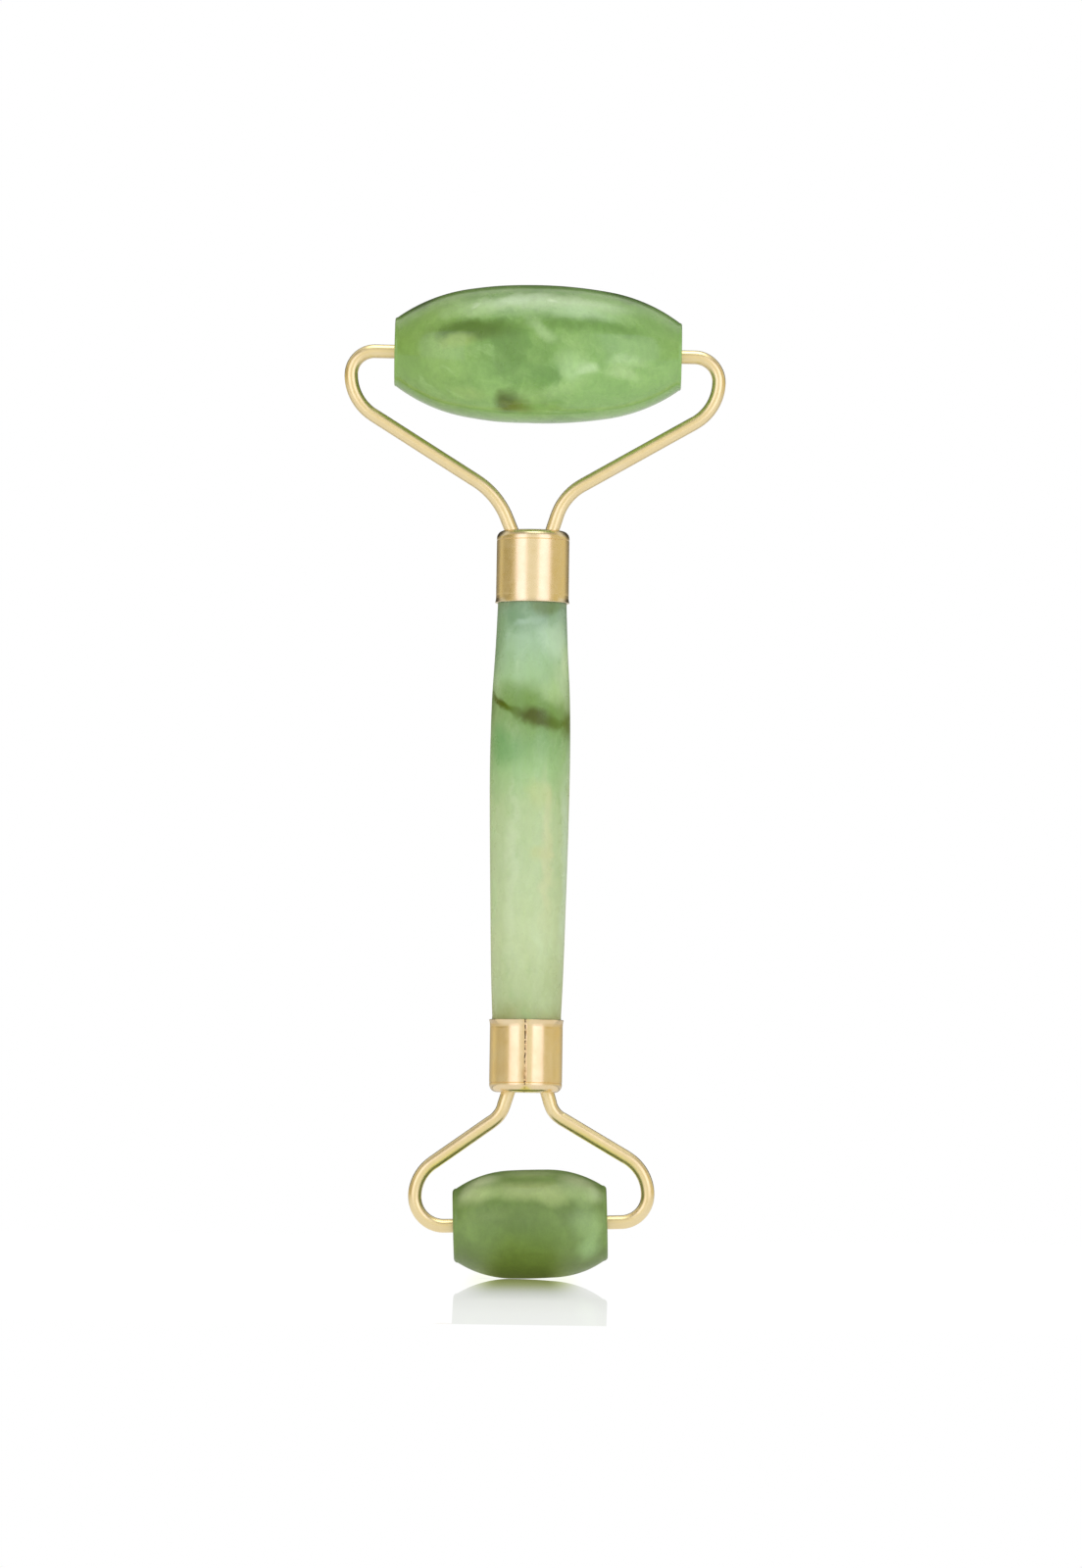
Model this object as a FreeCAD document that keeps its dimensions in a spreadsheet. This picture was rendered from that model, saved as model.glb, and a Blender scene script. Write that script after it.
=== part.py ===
import FreeCAD, Part
import math
import os
import Sketcher

# Double-ended jade face roller. Millimetres. Z runs up the handle's axis, X runs along both
# rollers, and the origin is on the floor under the small roller, on the handle's axis.

os.makedirs("parts", exist_ok=True)
doc = FreeCAD.newDocument("jade_face_roller")

# ---- driving dimensions -------------------------------------------------------------------

DIMENSIONS = {
    # jade handle: a crowned rod whose ends are ground down to tenons
    "handle_rim_radius": 5.03,
    "handle_belly_radius": 5.88,
    "handle_tenon_radius": 4.95,
    "handle_tenon_length": 4.1,
    "handle_lower_rim_height": 37.7,
    "handle_belly_height": 75.5,
    "handle_upper_rim_height": 98.5,
    "handle_shoulder_radius": 215,
    "handle_shoulder_rise": 12.6,
    # ferrules: a rolled sleeve closed by a shallow cap
    "ferrule_radius": 5.3,
    "ferrule_wall": 0.3,
    "ferrule_length": 10.6,
    "ferrule_cap_length": 1.4,
    "ferrule_cap_edge": 1.1,
    "ferrule_lip_flare": 0.12,
    "ferrule_lip_length": 0.9,
    "ferrule_joint_bevel": 0.07,
    "ferrule_seam_width": 0.16,
    "ferrule_seam_depth": 0.12,
    # both yokes
    "wire_radius": 1.0,
    "wire_tip_chamfer": 0.25,
    "wire_hidden_bend": 2.1,
    # large yoke, measured from the upper ferrule's closed end
    "large_left_foot": 3.13,
    "large_left_splay": 22.5,
    "large_left_neck": 11.5,
    "large_left_slope": 31.9,
    "large_left_loop": 7,
    "large_left_elbow": 3.4,
    "large_left_reach": 26.95,
    "large_right_foot": 2.72,
    "large_right_splay": 17.5,
    "large_right_neck": 8,
    "large_right_slope": 29.9,
    "large_right_loop": 7,
    "large_right_elbow": 3.6,
    "large_right_reach": 26.85,
    # small yoke, measured from the lower ferrule's closed end
    "small_left_foot": 2.53,
    "small_left_splay": 17.3,
    "small_left_neck": 4.2,
    "small_left_slope": 35.6,
    "small_left_loop": 6,
    "small_left_elbow": 4.25,
    "small_left_reach": 15.9,
    "small_right_foot": 3.17,
    "small_right_splay": 16.5,
    "small_right_neck": 3.5,
    "small_right_slope": 30.1,
    "small_right_loop": 6.3,
    "small_right_elbow": 3.95,
    "small_right_reach": 18,
    # large roller
    "large_offset": 0.35,
    "large_height": 135.05,
    "large_tilt": -0.3,
    "large_length": 41.9,
    "large_belly_radius": 10.13,
    "large_crown_radius": 63,
    "large_crown_reach": 10.5,
    "large_shoulder_radius": 24,
    "large_edge_chamfer": 0.3,
    "large_prong_reach": 6,
    "large_bush_length": 7.5,
    # small roller
    "small_offset": 0.95,
    "small_height": 7.98,
    "small_tilt": 2,
    "small_length": 22.4,
    "small_belly_radius": 7.94,
    "small_crown_radius": 72,
    "small_crown_reach": 3,
    "small_shoulder_radius": 15,
    "small_edge_chamfer": 0.45,
    "small_prong_reach": 5,
    "small_bush_length": 6.5,
    # bore of either roller and the plastic bushes in it
    "bore_radius": 2,
    "bore_mouth_chamfer": 0.25,
    "bush_recess": 0.3,
    "bush_running_clearance": 0.05,
}

sheet = doc.addObject("Spreadsheet::Sheet", "dims")
for row, (name, value) in enumerate(DIMENSIONS.items(), start=1):
    sheet.set(f"A{row}", name)
    sheet.set(f"B{row}", str(value))
    sheet.setAlias(f"B{row}", name)
doc.recompute()


def formula(text):
    """An expression over the sheet, from one that names its dimensions plainly."""
    return " ".join(f"dims.{word}" if word in DIMENSIONS else word for word in text.split())


def size(text):
    """What such an expression comes to."""
    return float(sheet.evalExpression(formula(text)))


# ---- sketches -----------------------------------------------------------------------------

START = 1
END = 2
CENTRE = 3
ORIGIN = (-1, 1)
ACROSS_AXIS = -1
UP_AXIS = -2


def polar(centre, radius, degrees):
    """The point at an angle on a circle."""
    angle = math.radians(degrees)
    return (centre[0] + radius * math.cos(angle), centre[1] + radius * math.sin(angle))


class Outline:
    """A sketch on a body's origin plane, drawn near its final shape, then held to the sheet."""

    def __init__(self, body, name, role="XZ_Plane"):
        plane = next(item for item in body.Origin.OriginFeatures if item.Role == role)
        self.sketch = body.newObject("Sketcher::SketchObject", name)
        self.sketch.AttachmentSupport = [(plane, "")]
        self.sketch.MapMode = "FlatFace"
        self.sizes = 0

    def line(self, start, end, construction=False):
        edge = Part.LineSegment(FreeCAD.Vector(*start, 0), FreeCAD.Vector(*end, 0))
        return self.sketch.addGeometry(edge, construction)

    def arc(self, centre, radius, first, last):
        """Arc running anticlockwise between two angles in degrees."""
        circle = Part.Circle(FreeCAD.Vector(*centre, 0), FreeCAD.Vector(0, 0, 1), radius)
        edge = Part.ArcOfCircle(circle, math.radians(first), math.radians(last))
        return self.sketch.addGeometry(edge, False)

    def point(self, where):
        return self.sketch.addGeometry(Part.Point(FreeCAD.Vector(*where, 0)), True)

    def hold(self, *constraint):
        return self.sketch.addConstraint(Sketcher.Constraint(*constraint))

    def bind(self, kind, *where, text):
        """Add a dimension that follows an expression over the sheet."""
        value = size(text)
        if kind == "Angle":
            value = math.radians(value)
        self.sizes += 1
        label = f"size_{self.sizes}"
        self.sketch.renameConstraint(self.hold(kind, *where, value), label)
        self.sketch.setExpression(f"Constraints.{label}", formula(text))

    def put(self, edge, end, across=None, up=None):
        """Fix a vertex at a distance across and up from the sketch's origin."""
        for kind, axis, text in (("DistanceX", UP_AXIS, across), ("DistanceY", ACROSS_AXIS, up)):
            if text == "0":
                self.hold("PointOnObject", edge, end, axis)
            elif text:
                self.bind(kind, *ORIGIN, edge, end, text=text)

    def nearest_end(self, edge, where):
        """Which end of an edge lies at a point."""
        shape = self.sketch.Geometry[edge]
        gap = shape.StartPoint.distanceToPoint(FreeCAD.Vector(*where, 0))
        other = shape.EndPoint.distanceToPoint(FreeCAD.Vector(*where, 0))
        return START if gap < other else END

    def join(self, first, second, where, kind="Coincident"):
        """Join two edges at a point, with a corner or smoothly."""
        ends = (first, self.nearest_end(first, where), second, self.nearest_end(second, where))
        self.hold(kind, *ends)

    def polygon(self, corners):
        """Closed outline of straight edges. Each corner is a pair of expressions."""
        points = [(size(across), size(up)) for across, up in corners]
        following = points[1:] + points[:1]
        edges = [self.line(start, end) for start, end in zip(points, following)]
        for edge, after, corner in zip(edges, edges[1:] + edges[:1], corners):
            self.hold("Coincident", edge, END, after, START)
            self.put(edge, START, *corner)


# ---- bodies -------------------------------------------------------------------------------


def new_body(label):
    body = doc.addObject("PartDesign::Body", label)
    body.Label = label
    return body


def revolve(body, outline, axis):
    """Turn an outline a full circle: H_Axis runs across the sketch and V_Axis up it."""
    doc.recompute()
    turned = body.newObject("PartDesign::Revolution", f"{body.Name}_turned")
    turned.Profile = outline.sketch
    turned.ReferenceAxis = (outline.sketch, [axis])
    turned.Angle = 360
    doc.recompute()
    return turned


def turned_body(label, corners, axis):
    """A body of revolution with a straight-edged section."""
    body = new_body(label)
    outline = Outline(body, f"{label}_section")
    outline.polygon(corners)
    revolve(body, outline, axis)
    return body


def ease_edges(body, kind, size_text, wanted):
    """Fillet or chamfer the round edges whose centre and radius are wanted."""
    base = body.Tip
    volume = base.Shape.Volume
    names = []
    for number, edge in enumerate(base.Shape.Edges, start=1):
        if isinstance(edge.Curve, Part.Circle) and wanted(edge.Curve.Center, edge.Curve.Radius):
            names.append(f"Edge{number}")
    feature = body.newObject(f"PartDesign::{kind}", f"{body.Name}_{kind.lower()}")
    feature.Base = (base, names)
    feature.setExpression("Radius" if kind == "Fillet" else "Size", formula(size_text))
    doc.recompute()
    if abs(feature.Shape.Volume - volume) < 1e-6:
        raise RuntimeError(f"{feature.Name} changed nothing")


def near(first, second):
    return abs(first - second) < 1e-3


def stand(item, across="0", up="0", tilt=None, turned_over=False):
    """Place an item in the XZ plane, tilted there or turned over about X."""
    item.setExpression("Placement.Base.x", formula(across))
    item.setExpression("Placement.Base.z", formula(up))
    if turned_over:
        item.Placement.Rotation = FreeCAD.Rotation(FreeCAD.Vector(1, 0, 0), 180)
    if tilt:
        item.Placement.Rotation = FreeCAD.Rotation(FreeCAD.Vector(0, -1, 0), size(tilt))
        item.setExpression("Placement.Rotation.Angle", formula(tilt))
    doc.recompute()


# ---- handle -------------------------------------------------------------------------------


def make_handle_stone():
    """Crowned jade rod: one long curve up to the belly, then a shoulder and a slight neck."""
    body = new_body("handle_stone")
    outline = Outline(body, "handle_section")
    rim = size("handle_rim_radius")
    belly = size("handle_belly_radius")
    tenon = size("handle_tenon_radius")
    low = size("handle_lower_rim_height")
    middle = size("handle_belly_height")
    high = size("handle_upper_rim_height")
    foot = size("handle_lower_rim_height - handle_tenon_length")
    top = size("handle_upper_rim_height + handle_tenon_length")

    long_radius = ((middle - low) ** 2 + (belly - rim) ** 2) / (2 * (belly - rim))
    long_angle = math.degrees(math.asin((middle - low) / long_radius))
    long_centre = (belly - long_radius, middle)
    short_radius = size("handle_shoulder_radius")
    short_centre = (belly - short_radius, middle)
    short_angle = math.degrees(math.asin(size("handle_shoulder_rise") / short_radius))
    join = polar(short_centre, short_radius, short_angle)
    outward = polar((0, 0), 1, short_angle)
    bulge = (rim - join[0]) * outward[0] + (high - join[1]) * outward[1]
    neck_radius = ((rim - join[0]) ** 2 + (high - join[1]) ** 2) / (2 * bulge)
    neck_centre = polar(join, neck_radius, short_angle)
    neck_angle = math.degrees(math.asin((neck_centre[1] - high) / neck_radius))

    axis = outline.line((0, foot), (0, top))
    upper_end = outline.line((0, top), (tenon, top))
    upper_tenon = outline.line((tenon, top), (tenon, high))
    upper_step = outline.line((tenon, high), (rim, high))
    neck = outline.arc(neck_centre, neck_radius, 180 + neck_angle, 180 + short_angle)
    shoulder = outline.arc(short_centre, short_radius, 0, short_angle)
    long_curve = outline.arc(long_centre, long_radius, -long_angle, 0)
    lower_step = outline.line((rim, low), (tenon, low))
    lower_tenon = outline.line((tenon, low), (tenon, foot))
    lower_end = outline.line((tenon, foot), (0, foot))

    outline.put(axis, START, "0", "handle_lower_rim_height - handle_tenon_length")
    outline.put(axis, END, "0", "handle_upper_rim_height + handle_tenon_length")
    outline.put(upper_step, START, "handle_tenon_radius", "handle_upper_rim_height")
    outline.put(upper_step, END, "handle_rim_radius", "handle_upper_rim_height")
    outline.put(lower_step, START, "handle_rim_radius", "handle_lower_rim_height")
    outline.put(lower_step, END, "handle_tenon_radius", "handle_lower_rim_height")
    outline.put(shoulder, START, "handle_belly_radius", "handle_belly_height")
    outline.join(axis, upper_end, (0, top))
    outline.join(upper_end, upper_tenon, (tenon, top))
    outline.join(upper_tenon, upper_step, (tenon, high))
    outline.join(upper_step, neck, (rim, high))
    outline.join(neck, shoulder, join, kind="Tangent")
    outline.join(shoulder, long_curve, (belly, middle))
    outline.join(long_curve, lower_step, (rim, low))
    outline.join(lower_step, lower_tenon, (tenon, low))
    outline.join(lower_tenon, lower_end, (tenon, foot))
    outline.join(lower_end, axis, (0, foot))
    for edge in (upper_end, lower_end):
        outline.hold("Horizontal", edge)
    for edge in (upper_tenon, lower_tenon):
        outline.hold("Vertical", edge)
    outline.hold("Horizontal", shoulder, CENTRE, shoulder, START)
    outline.hold("Horizontal", long_curve, CENTRE, long_curve, END)
    outline.bind("Radius", shoulder, text="handle_shoulder_radius")
    outline.bind("DistanceY", shoulder, START, shoulder, END, text="handle_shoulder_rise")
    revolve(body, outline, "V_Axis")
    return body


# ---- ferrules: drawn with the closed end at the origin and the open rim below it ------------


def make_sleeve(label):
    """Rolled tube with a slightly flared rim and a shallow butt seam along its +Y side."""
    outside = "ferrule_radius"
    inside = "ferrule_radius - ferrule_wall"
    corners = [
        (inside, "0 - ferrule_cap_length"),
        (f"{outside} - ferrule_joint_bevel", "0 - ferrule_cap_length"),
        (outside, "0 - ferrule_cap_length - ferrule_joint_bevel"),
        (outside, "ferrule_lip_length - ferrule_length"),
        (f"{outside} + ferrule_lip_flare", "0 - ferrule_length"),
        (f"{inside} + ferrule_lip_flare", "0 - ferrule_length"),
        (inside, "ferrule_lip_length - ferrule_length"),
    ]
    body = turned_body(label, corners, "V_Axis")
    uncut = body.Shape.Volume
    seam = Outline(body, f"{label}_seam_section", role="XY_Plane")
    floor = "ferrule_radius - ferrule_seam_depth"
    clear = "ferrule_radius + ferrule_wall"
    seam.polygon(
        [
            ("0 - ferrule_seam_width / 2", floor),
            ("ferrule_seam_width / 2", floor),
            ("ferrule_seam_width / 2", clear),
            ("0 - ferrule_seam_width / 2", clear),
        ]
    )
    doc.recompute()
    cut = body.newObject("PartDesign::Pocket", f"{label}_seam")
    cut.Profile = seam.sketch
    cut.setExpression("Length", formula("ferrule_length + 1"))
    doc.recompute()
    if body.Shape.Volume > uncut - 0.05:
        raise RuntimeError(f"the seam of {label} was not cut")
    return body


def make_cap(label):
    """Shallow pressed cap: a flat end, a rounded edge and a short skirt."""
    inside = "ferrule_radius - ferrule_wall"
    corners = [
        ("0", "0"),
        ("ferrule_radius", "0"),
        ("ferrule_radius", "ferrule_joint_bevel - ferrule_cap_length"),
        ("ferrule_radius - ferrule_joint_bevel", "0 - ferrule_cap_length"),
        (inside, "0 - ferrule_cap_length"),
        (inside, "0 - ferrule_wall"),
        ("0", "0 - ferrule_wall"),
    ]
    body = turned_body(label, corners, "V_Axis")
    ease_edges(body, "Fillet", "ferrule_cap_edge", lambda centre, radius: near(centre.z, 0))
    wall = size("ferrule_wall")
    ease_edges(
        body,
        "Fillet",
        "ferrule_cap_edge - ferrule_wall",
        lambda centre, radius: near(centre.z, -wall) and near(radius, size(inside)),
    )
    return body


def make_plug(label):
    """Epoxy that fills the ferrule between the cap and the handle stone's tenon."""
    inside = "ferrule_radius - ferrule_wall"
    depth = "handle_tenon_length - ferrule_length"
    corners = [
        ("0", "0 - ferrule_wall"),
        (inside, "0 - ferrule_wall"),
        (inside, depth),
        ("0", depth),
    ]
    body = turned_body(label, corners, "V_Axis")
    top = size("0 - ferrule_wall")
    edge = "ferrule_cap_edge - ferrule_wall"
    ease_edges(body, "Fillet", edge, lambda centre, radius: near(centre.z, top))
    return body


# ---- yokes: drawn with the ferrule's closed end at the origin -------------------------------


def draw_half_yoke(outline, roller, side, axis_up, tilt):
    """One side of a yoke, from the prong's tip down to the leg that enters the ferrule."""
    sign = -1 if side == "left" else 1
    name = f"{roller}_{side}"
    foot = size(f"{name}_foot")
    splay = size(f"{name}_splay")
    slope = size(f"{name}_slope")
    neck_radius = size(f"{name}_neck")
    loop_radius = size(f"{name}_loop")
    elbow_radius = size(f"{name}_elbow")
    reach = size(f"{name}_reach")
    lean = sign * tilt
    offset = sign * size(f"{roller}_offset")

    # all of this is worked out on the right-hand side and mirrored where sign is negative
    elbow_foot = reach - elbow_radius - elbow_radius * math.sin(math.radians(lean))
    rise = (elbow_foot - offset) * math.tan(math.radians(lean))
    turn_up = axis_up + rise - elbow_radius * math.cos(math.radians(lean))
    elbow_centre = (reach - elbow_radius, turn_up)
    loop_centre = (reach - loop_radius, turn_up)
    elbow_end = polar(elbow_centre, elbow_radius, 90 + lean)
    tip = size(f"{roller}_length / 2 - {roller}_prong_reach") + offset
    tip_point = (tip, axis_up + (tip - offset) * math.tan(math.radians(lean)))
    arm_end = polar(loop_centre, loop_radius, slope - 90)
    arm_way = polar((0, 0), 1, slope)
    leg_way = polar((0, 0), 1, 90 - splay)
    cross = arm_way[0] * leg_way[1] - arm_way[1] * leg_way[0]
    along = (arm_way[0] * arm_end[1] - arm_way[1] * (arm_end[0] - foot)) / cross
    corner = (foot + along * leg_way[0], along * leg_way[1])
    trim = neck_radius * math.tan(math.radians(90 - splay - slope) / 2)
    leg_end = (corner[0] - trim * leg_way[0], corner[1] - trim * leg_way[1])
    arm_start = (corner[0] + trim * arm_way[0], corner[1] + trim * arm_way[1])
    neck_centre = polar(leg_end, neck_radius, -splay)
    leg_start = polar((foot, 0), -2, 90 - splay)

    def there(where):
        return (sign * where[0], where[1])

    def bend(centre, radius, first, last):
        if sign < 0:
            first, last = 180 - last, 180 - first
        return outline.arc(there(centre), radius, first, last)

    prong = outline.line(there(tip_point), there(elbow_end))
    elbow = bend(elbow_centre, elbow_radius, 0, 90 + lean)
    loop = bend(loop_centre, loop_radius, slope - 90, 0)
    arm = outline.line(there(arm_start), there(arm_end))
    neck = bend(neck_centre, neck_radius, 90 + slope, 180 - splay)
    leg = outline.line(there(leg_start), there(leg_end))
    mark = outline.point(there((foot, 0)))

    outline.join(prong, elbow, there(elbow_end), kind="Tangent")
    outline.join(elbow, loop, there((reach, turn_up)), kind="Tangent")
    outline.join(loop, arm, there(arm_end), kind="Tangent")
    outline.join(arm, neck, there(arm_start), kind="Tangent")
    outline.join(neck, leg, there(leg_end), kind="Tangent")
    for edge, text in ((elbow, "elbow"), (loop, "loop"), (neck, "neck")):
        outline.bind("Radius", edge, text=f"{name}_{text}")
    turn = outline.nearest_end(elbow, there((reach, turn_up)))
    outline.hold("Horizontal", elbow, CENTRE, elbow, turn)
    if sign > 0:
        outline.put(elbow, turn, f"{name}_reach")
        outline.put(mark, START, f"{name}_foot", "0")
        outline.bind("Angle", arm, text=f"{name}_slope")
        outline.bind("Angle", leg, text=f"90 - {name}_splay")
        outline.put(prong, START, f"{roller}_offset + {roller}_length / 2 - {roller}_prong_reach")
    else:
        outline.put(elbow, turn, f"0 - {name}_reach")
        outline.put(mark, START, f"0 - {name}_foot", "0")
        outline.bind("Angle", arm, text=f"180 - {name}_slope")
        outline.bind("Angle", leg, text=f"90 + {name}_splay")
        outline.put(prong, START, f"{roller}_offset - {roller}_length / 2 + {roller}_prong_reach")
    outline.hold("PointOnObject", mark, START, leg)
    return prong, leg, there(leg_start)


def make_yoke(label, roller, axis_up, tilt):
    """One bent wire: a hidden bend in the ferrule, two arms and a prong in each roller end."""
    body = new_body(label)
    outline = Outline(body, f"{label}_path")
    up = size(axis_up)
    lean = size(tilt)
    left_foot = size(f"{roller}_left_foot")
    right_foot = size(f"{roller}_right_foot")
    left_splay = math.radians(size(f"{roller}_left_splay"))
    right_splay = math.radians(size(f"{roller}_right_splay"))
    bend_radius = size("wire_hidden_bend")

    # centre of the hidden bend: one bend radius from each leg's line
    right_side = bend_radius - right_foot * math.cos(right_splay)
    left_side = bend_radius - left_foot * math.cos(left_splay)
    cross = math.sin(right_splay + left_splay)
    bend_centre = (
        (left_side * math.sin(right_splay) - right_side * math.sin(left_splay)) / cross,
        (left_side * math.cos(right_splay) + right_side * math.cos(left_splay)) / cross,
    )
    first = math.degrees(left_splay) - 180
    last = -math.degrees(right_splay)

    left_prong, left_leg, left_mark = draw_half_yoke(outline, roller, "left", up, lean)
    right_prong, right_leg, right_mark = draw_half_yoke(outline, roller, "right", up, lean)
    hidden = outline.arc(bend_centre, bend_radius, first, last)
    outline.hold("Tangent", hidden, START, left_leg, START)
    outline.hold("Tangent", hidden, END, right_leg, START)
    outline.bind("Radius", hidden, text="wire_hidden_bend")

    middle = (size(f"{roller}_offset"), up)
    axle = outline.line(middle, polar(middle, 5, lean), construction=True)
    outline.put(axle, START, f"{roller}_offset", axis_up)
    outline.bind("Angle", axle, text=tilt)
    outline.bind("Distance", axle, text="5")
    for prong in (left_prong, right_prong):
        outline.hold("PointOnObject", prong, START, axle)
        outline.hold("PointOnObject", prong, END, axle)
    doc.recompute()

    section = body.newObject("Sketcher::SketchObject", f"{label}_section")
    section.AttachmentSupport = [(outline.sketch, "Edge1")]
    section.MapMode = "NormalToEdge"
    section.MapPathParameter = 0
    circle = Part.Circle(FreeCAD.Vector(0, 0, 0), FreeCAD.Vector(0, 0, 1), size("wire_radius"))
    section.addGeometry(circle, False)
    section.addConstraint(Sketcher.Constraint("Coincident", 0, CENTRE, *ORIGIN))
    index = section.addConstraint(Sketcher.Constraint("Radius", 0, size("wire_radius")))
    section.renameConstraint(index, "radius")
    section.setExpression("Constraints.radius", formula("wire_radius"))
    doc.recompute()
    wire = body.newObject("PartDesign::AdditivePipe", f"{label}_swept")
    wire.Profile = section
    wire.Spine = (outline.sketch, [])
    doc.recompute()
    inner = size(f"{roller}_length / 2 - {roller}_prong_reach") + 0.1
    ease_edges(
        body,
        "Chamfer",
        "wire_tip_chamfer",
        lambda centre, radius: abs(centre.x - middle[0]) < inner and centre.z > 0.5 * up,
    )
    return body


# ---- rollers: drawn with their middle at the origin and their axis along X ------------------


def make_roller_stone(label, roller):
    """Barrel of jade: a long crown, a rounder shoulder at each end, and a bore right through."""
    body = new_body(label)
    outline = Outline(body, f"{label}_section")
    half = size(f"{roller}_length / 2")
    bevel = size(f"{roller}_edge_chamfer")
    bore = size("bore_radius")
    mouth = size("bore_mouth_chamfer")
    crown = size(f"{roller}_crown_radius")
    reach = size(f"{roller}_crown_reach")
    round_off = size(f"{roller}_shoulder_radius")

    crown_centre = (0, size(f"{roller}_belly_radius") - crown)
    lean = math.degrees(math.asin(reach / crown))
    join = polar(crown_centre, crown, 90 - lean)
    centre = polar(join, -round_off, 90 - lean)
    last = math.degrees(math.acos((half - bevel - centre[0]) / round_off))
    rim = polar(centre, round_off, last)

    top = outline.arc(crown_centre, crown, 90 - lean, 90 + lean)
    wall = outline.line((mouth - half, bore), (half - mouth, bore))
    outline.hold("PointOnObject", top, CENTRE, UP_AXIS)
    outline.bind("Radius", top, text=f"{roller}_crown_radius")
    lift = f"{roller}_belly_radius - {roller}_crown_radius"
    outline.bind("DistanceY", *ORIGIN, top, CENTRE, text=lift)
    outline.put(wall, START, f"bore_mouth_chamfer - {roller}_length / 2", "bore_radius")
    outline.put(wall, END, f"{roller}_length / 2 - bore_mouth_chamfer", "bore_radius")
    for sign, way in ((1, "0 +"), (-1, "0 -")):

        def there(across, up, sign=sign):
            return (sign * across, up)

        first, second = (last, 90 - lean) if sign > 0 else (90 + lean, 180 - last)
        shoulder = outline.arc(there(*centre), round_off, first, second)
        edge = outline.line(there(*rim), there(half, rim[1] - bevel))
        face = outline.line(there(half, rim[1] - bevel), there(half, bore + mouth))
        lead = outline.line(there(half, bore + mouth), there(half - mouth, bore))
        outline.put(top, outline.nearest_end(top, there(*join)), f"{way} {roller}_crown_reach")
        outline.join(top, shoulder, there(*join), kind="Tangent")
        outline.bind("Radius", shoulder, text=f"{roller}_shoulder_radius")
        outline.join(shoulder, edge, there(*rim))
        end = f"{way} {roller}_length / 2"
        outline.put(edge, START, f"{way} ( {roller}_length / 2 - {roller}_edge_chamfer )")
        outline.put(edge, END, end)
        outline.bind("DistanceY", edge, END, edge, START, text=f"{roller}_edge_chamfer")
        outline.hold("Coincident", edge, END, face, START)
        outline.put(face, END, end, "bore_radius + bore_mouth_chamfer")
        outline.hold("Coincident", face, END, lead, START)
        outline.join(lead, wall, there(half - mouth, bore))
    revolve(body, outline, "H_Axis")
    return body


def make_bush(label, roller, side):
    """Plastic sleeve pressed into one end of a roller's bore."""
    sign = "0 -" if side == "left" else "0 +"
    outer_end = f"{sign} ( {roller}_length / 2 - bush_recess )"
    inner_end = f"{sign} ( {roller}_length / 2 - bush_recess - {roller}_bush_length )"
    running = "wire_radius + bush_running_clearance"
    corners = [
        (inner_end, running),
        (outer_end, running),
        (outer_end, "bore_radius"),
        (inner_end, "bore_radius"),
    ]
    return turned_body(label, corners, "H_Axis")


# ---- the whole roller -----------------------------------------------------------------------

pieces = [make_handle_stone()]
for place, roller, turned_over in (("upper", "large", False), ("lower", "small", True)):
    if turned_over:
        closed_end = "handle_lower_rim_height - ferrule_length"
        axis_up = f"{closed_end} - {roller}_height"
        tilt = f"0 - {roller}_tilt"
    else:
        closed_end = "handle_upper_rim_height + ferrule_length"
        axis_up = f"{roller}_height - {closed_end.replace(' + ', ' - ')}"
        tilt = f"{roller}_tilt"
    sleeve = make_sleeve(f"{place}_ferrule_sleeve")
    yoke = make_yoke(f"{roller}_yoke_wire", roller, axis_up, tilt)
    cap_blank = make_cap(f"{place}_cap_blank")
    plug_blank = make_plug(f"{place}_plug_blank")
    for item in (sleeve, yoke, cap_blank, plug_blank):
        stand(item, up=closed_end, turned_over=turned_over)
    pieces += [sleeve, yoke]
    for blank, label in (
        (cap_blank, f"{place}_ferrule_end_cap"),
        (plug_blank, f"{place}_adhesive_plug"),
    ):
        pierced = doc.addObject("Part::Cut", label)
        pierced.Label = label
        pierced.Base = blank
        pierced.Tool = yoke
        doc.recompute()
        if pierced.Shape.Volume > blank.Shape.Volume - 0.5:
            raise RuntimeError(f"the wire's holes in {label} were not cut")
        pieces.append(pierced)
    stone = make_roller_stone(f"{roller}_roller_stone", roller)
    bushes = [
        make_bush(f"{roller}_roller_{side}_bush", roller, side) for side in ("left", "right")
    ]
    for item in [stone] + bushes:
        stand(item, across=f"{roller}_offset", up=f"{roller}_height", tilt=f"{roller}_tilt")
        pieces.append(item)

doc.recompute()
for item in doc.Objects:
    if "Invalid" in item.State or "Error" in item.State:
        raise RuntimeError(f"{item.Label} did not recompute: {item.State}")
for piece in pieces:
    if piece.Shape.isNull() or not piece.Shape.isValid() or len(piece.Shape.Solids) != 1:
        raise RuntimeError(f"{piece.Label} is not one valid solid")
    piece.Shape.exportStep(f"parts/{piece.Label}.step")
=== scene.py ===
"""Jade face roller: the visible model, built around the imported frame.

Lengths are written in millimetres and scaled to metres when a mesh is made.
"""

import math

import bmesh
import bpy
from mathutils import Euler, Matrix, Vector, noise


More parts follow.
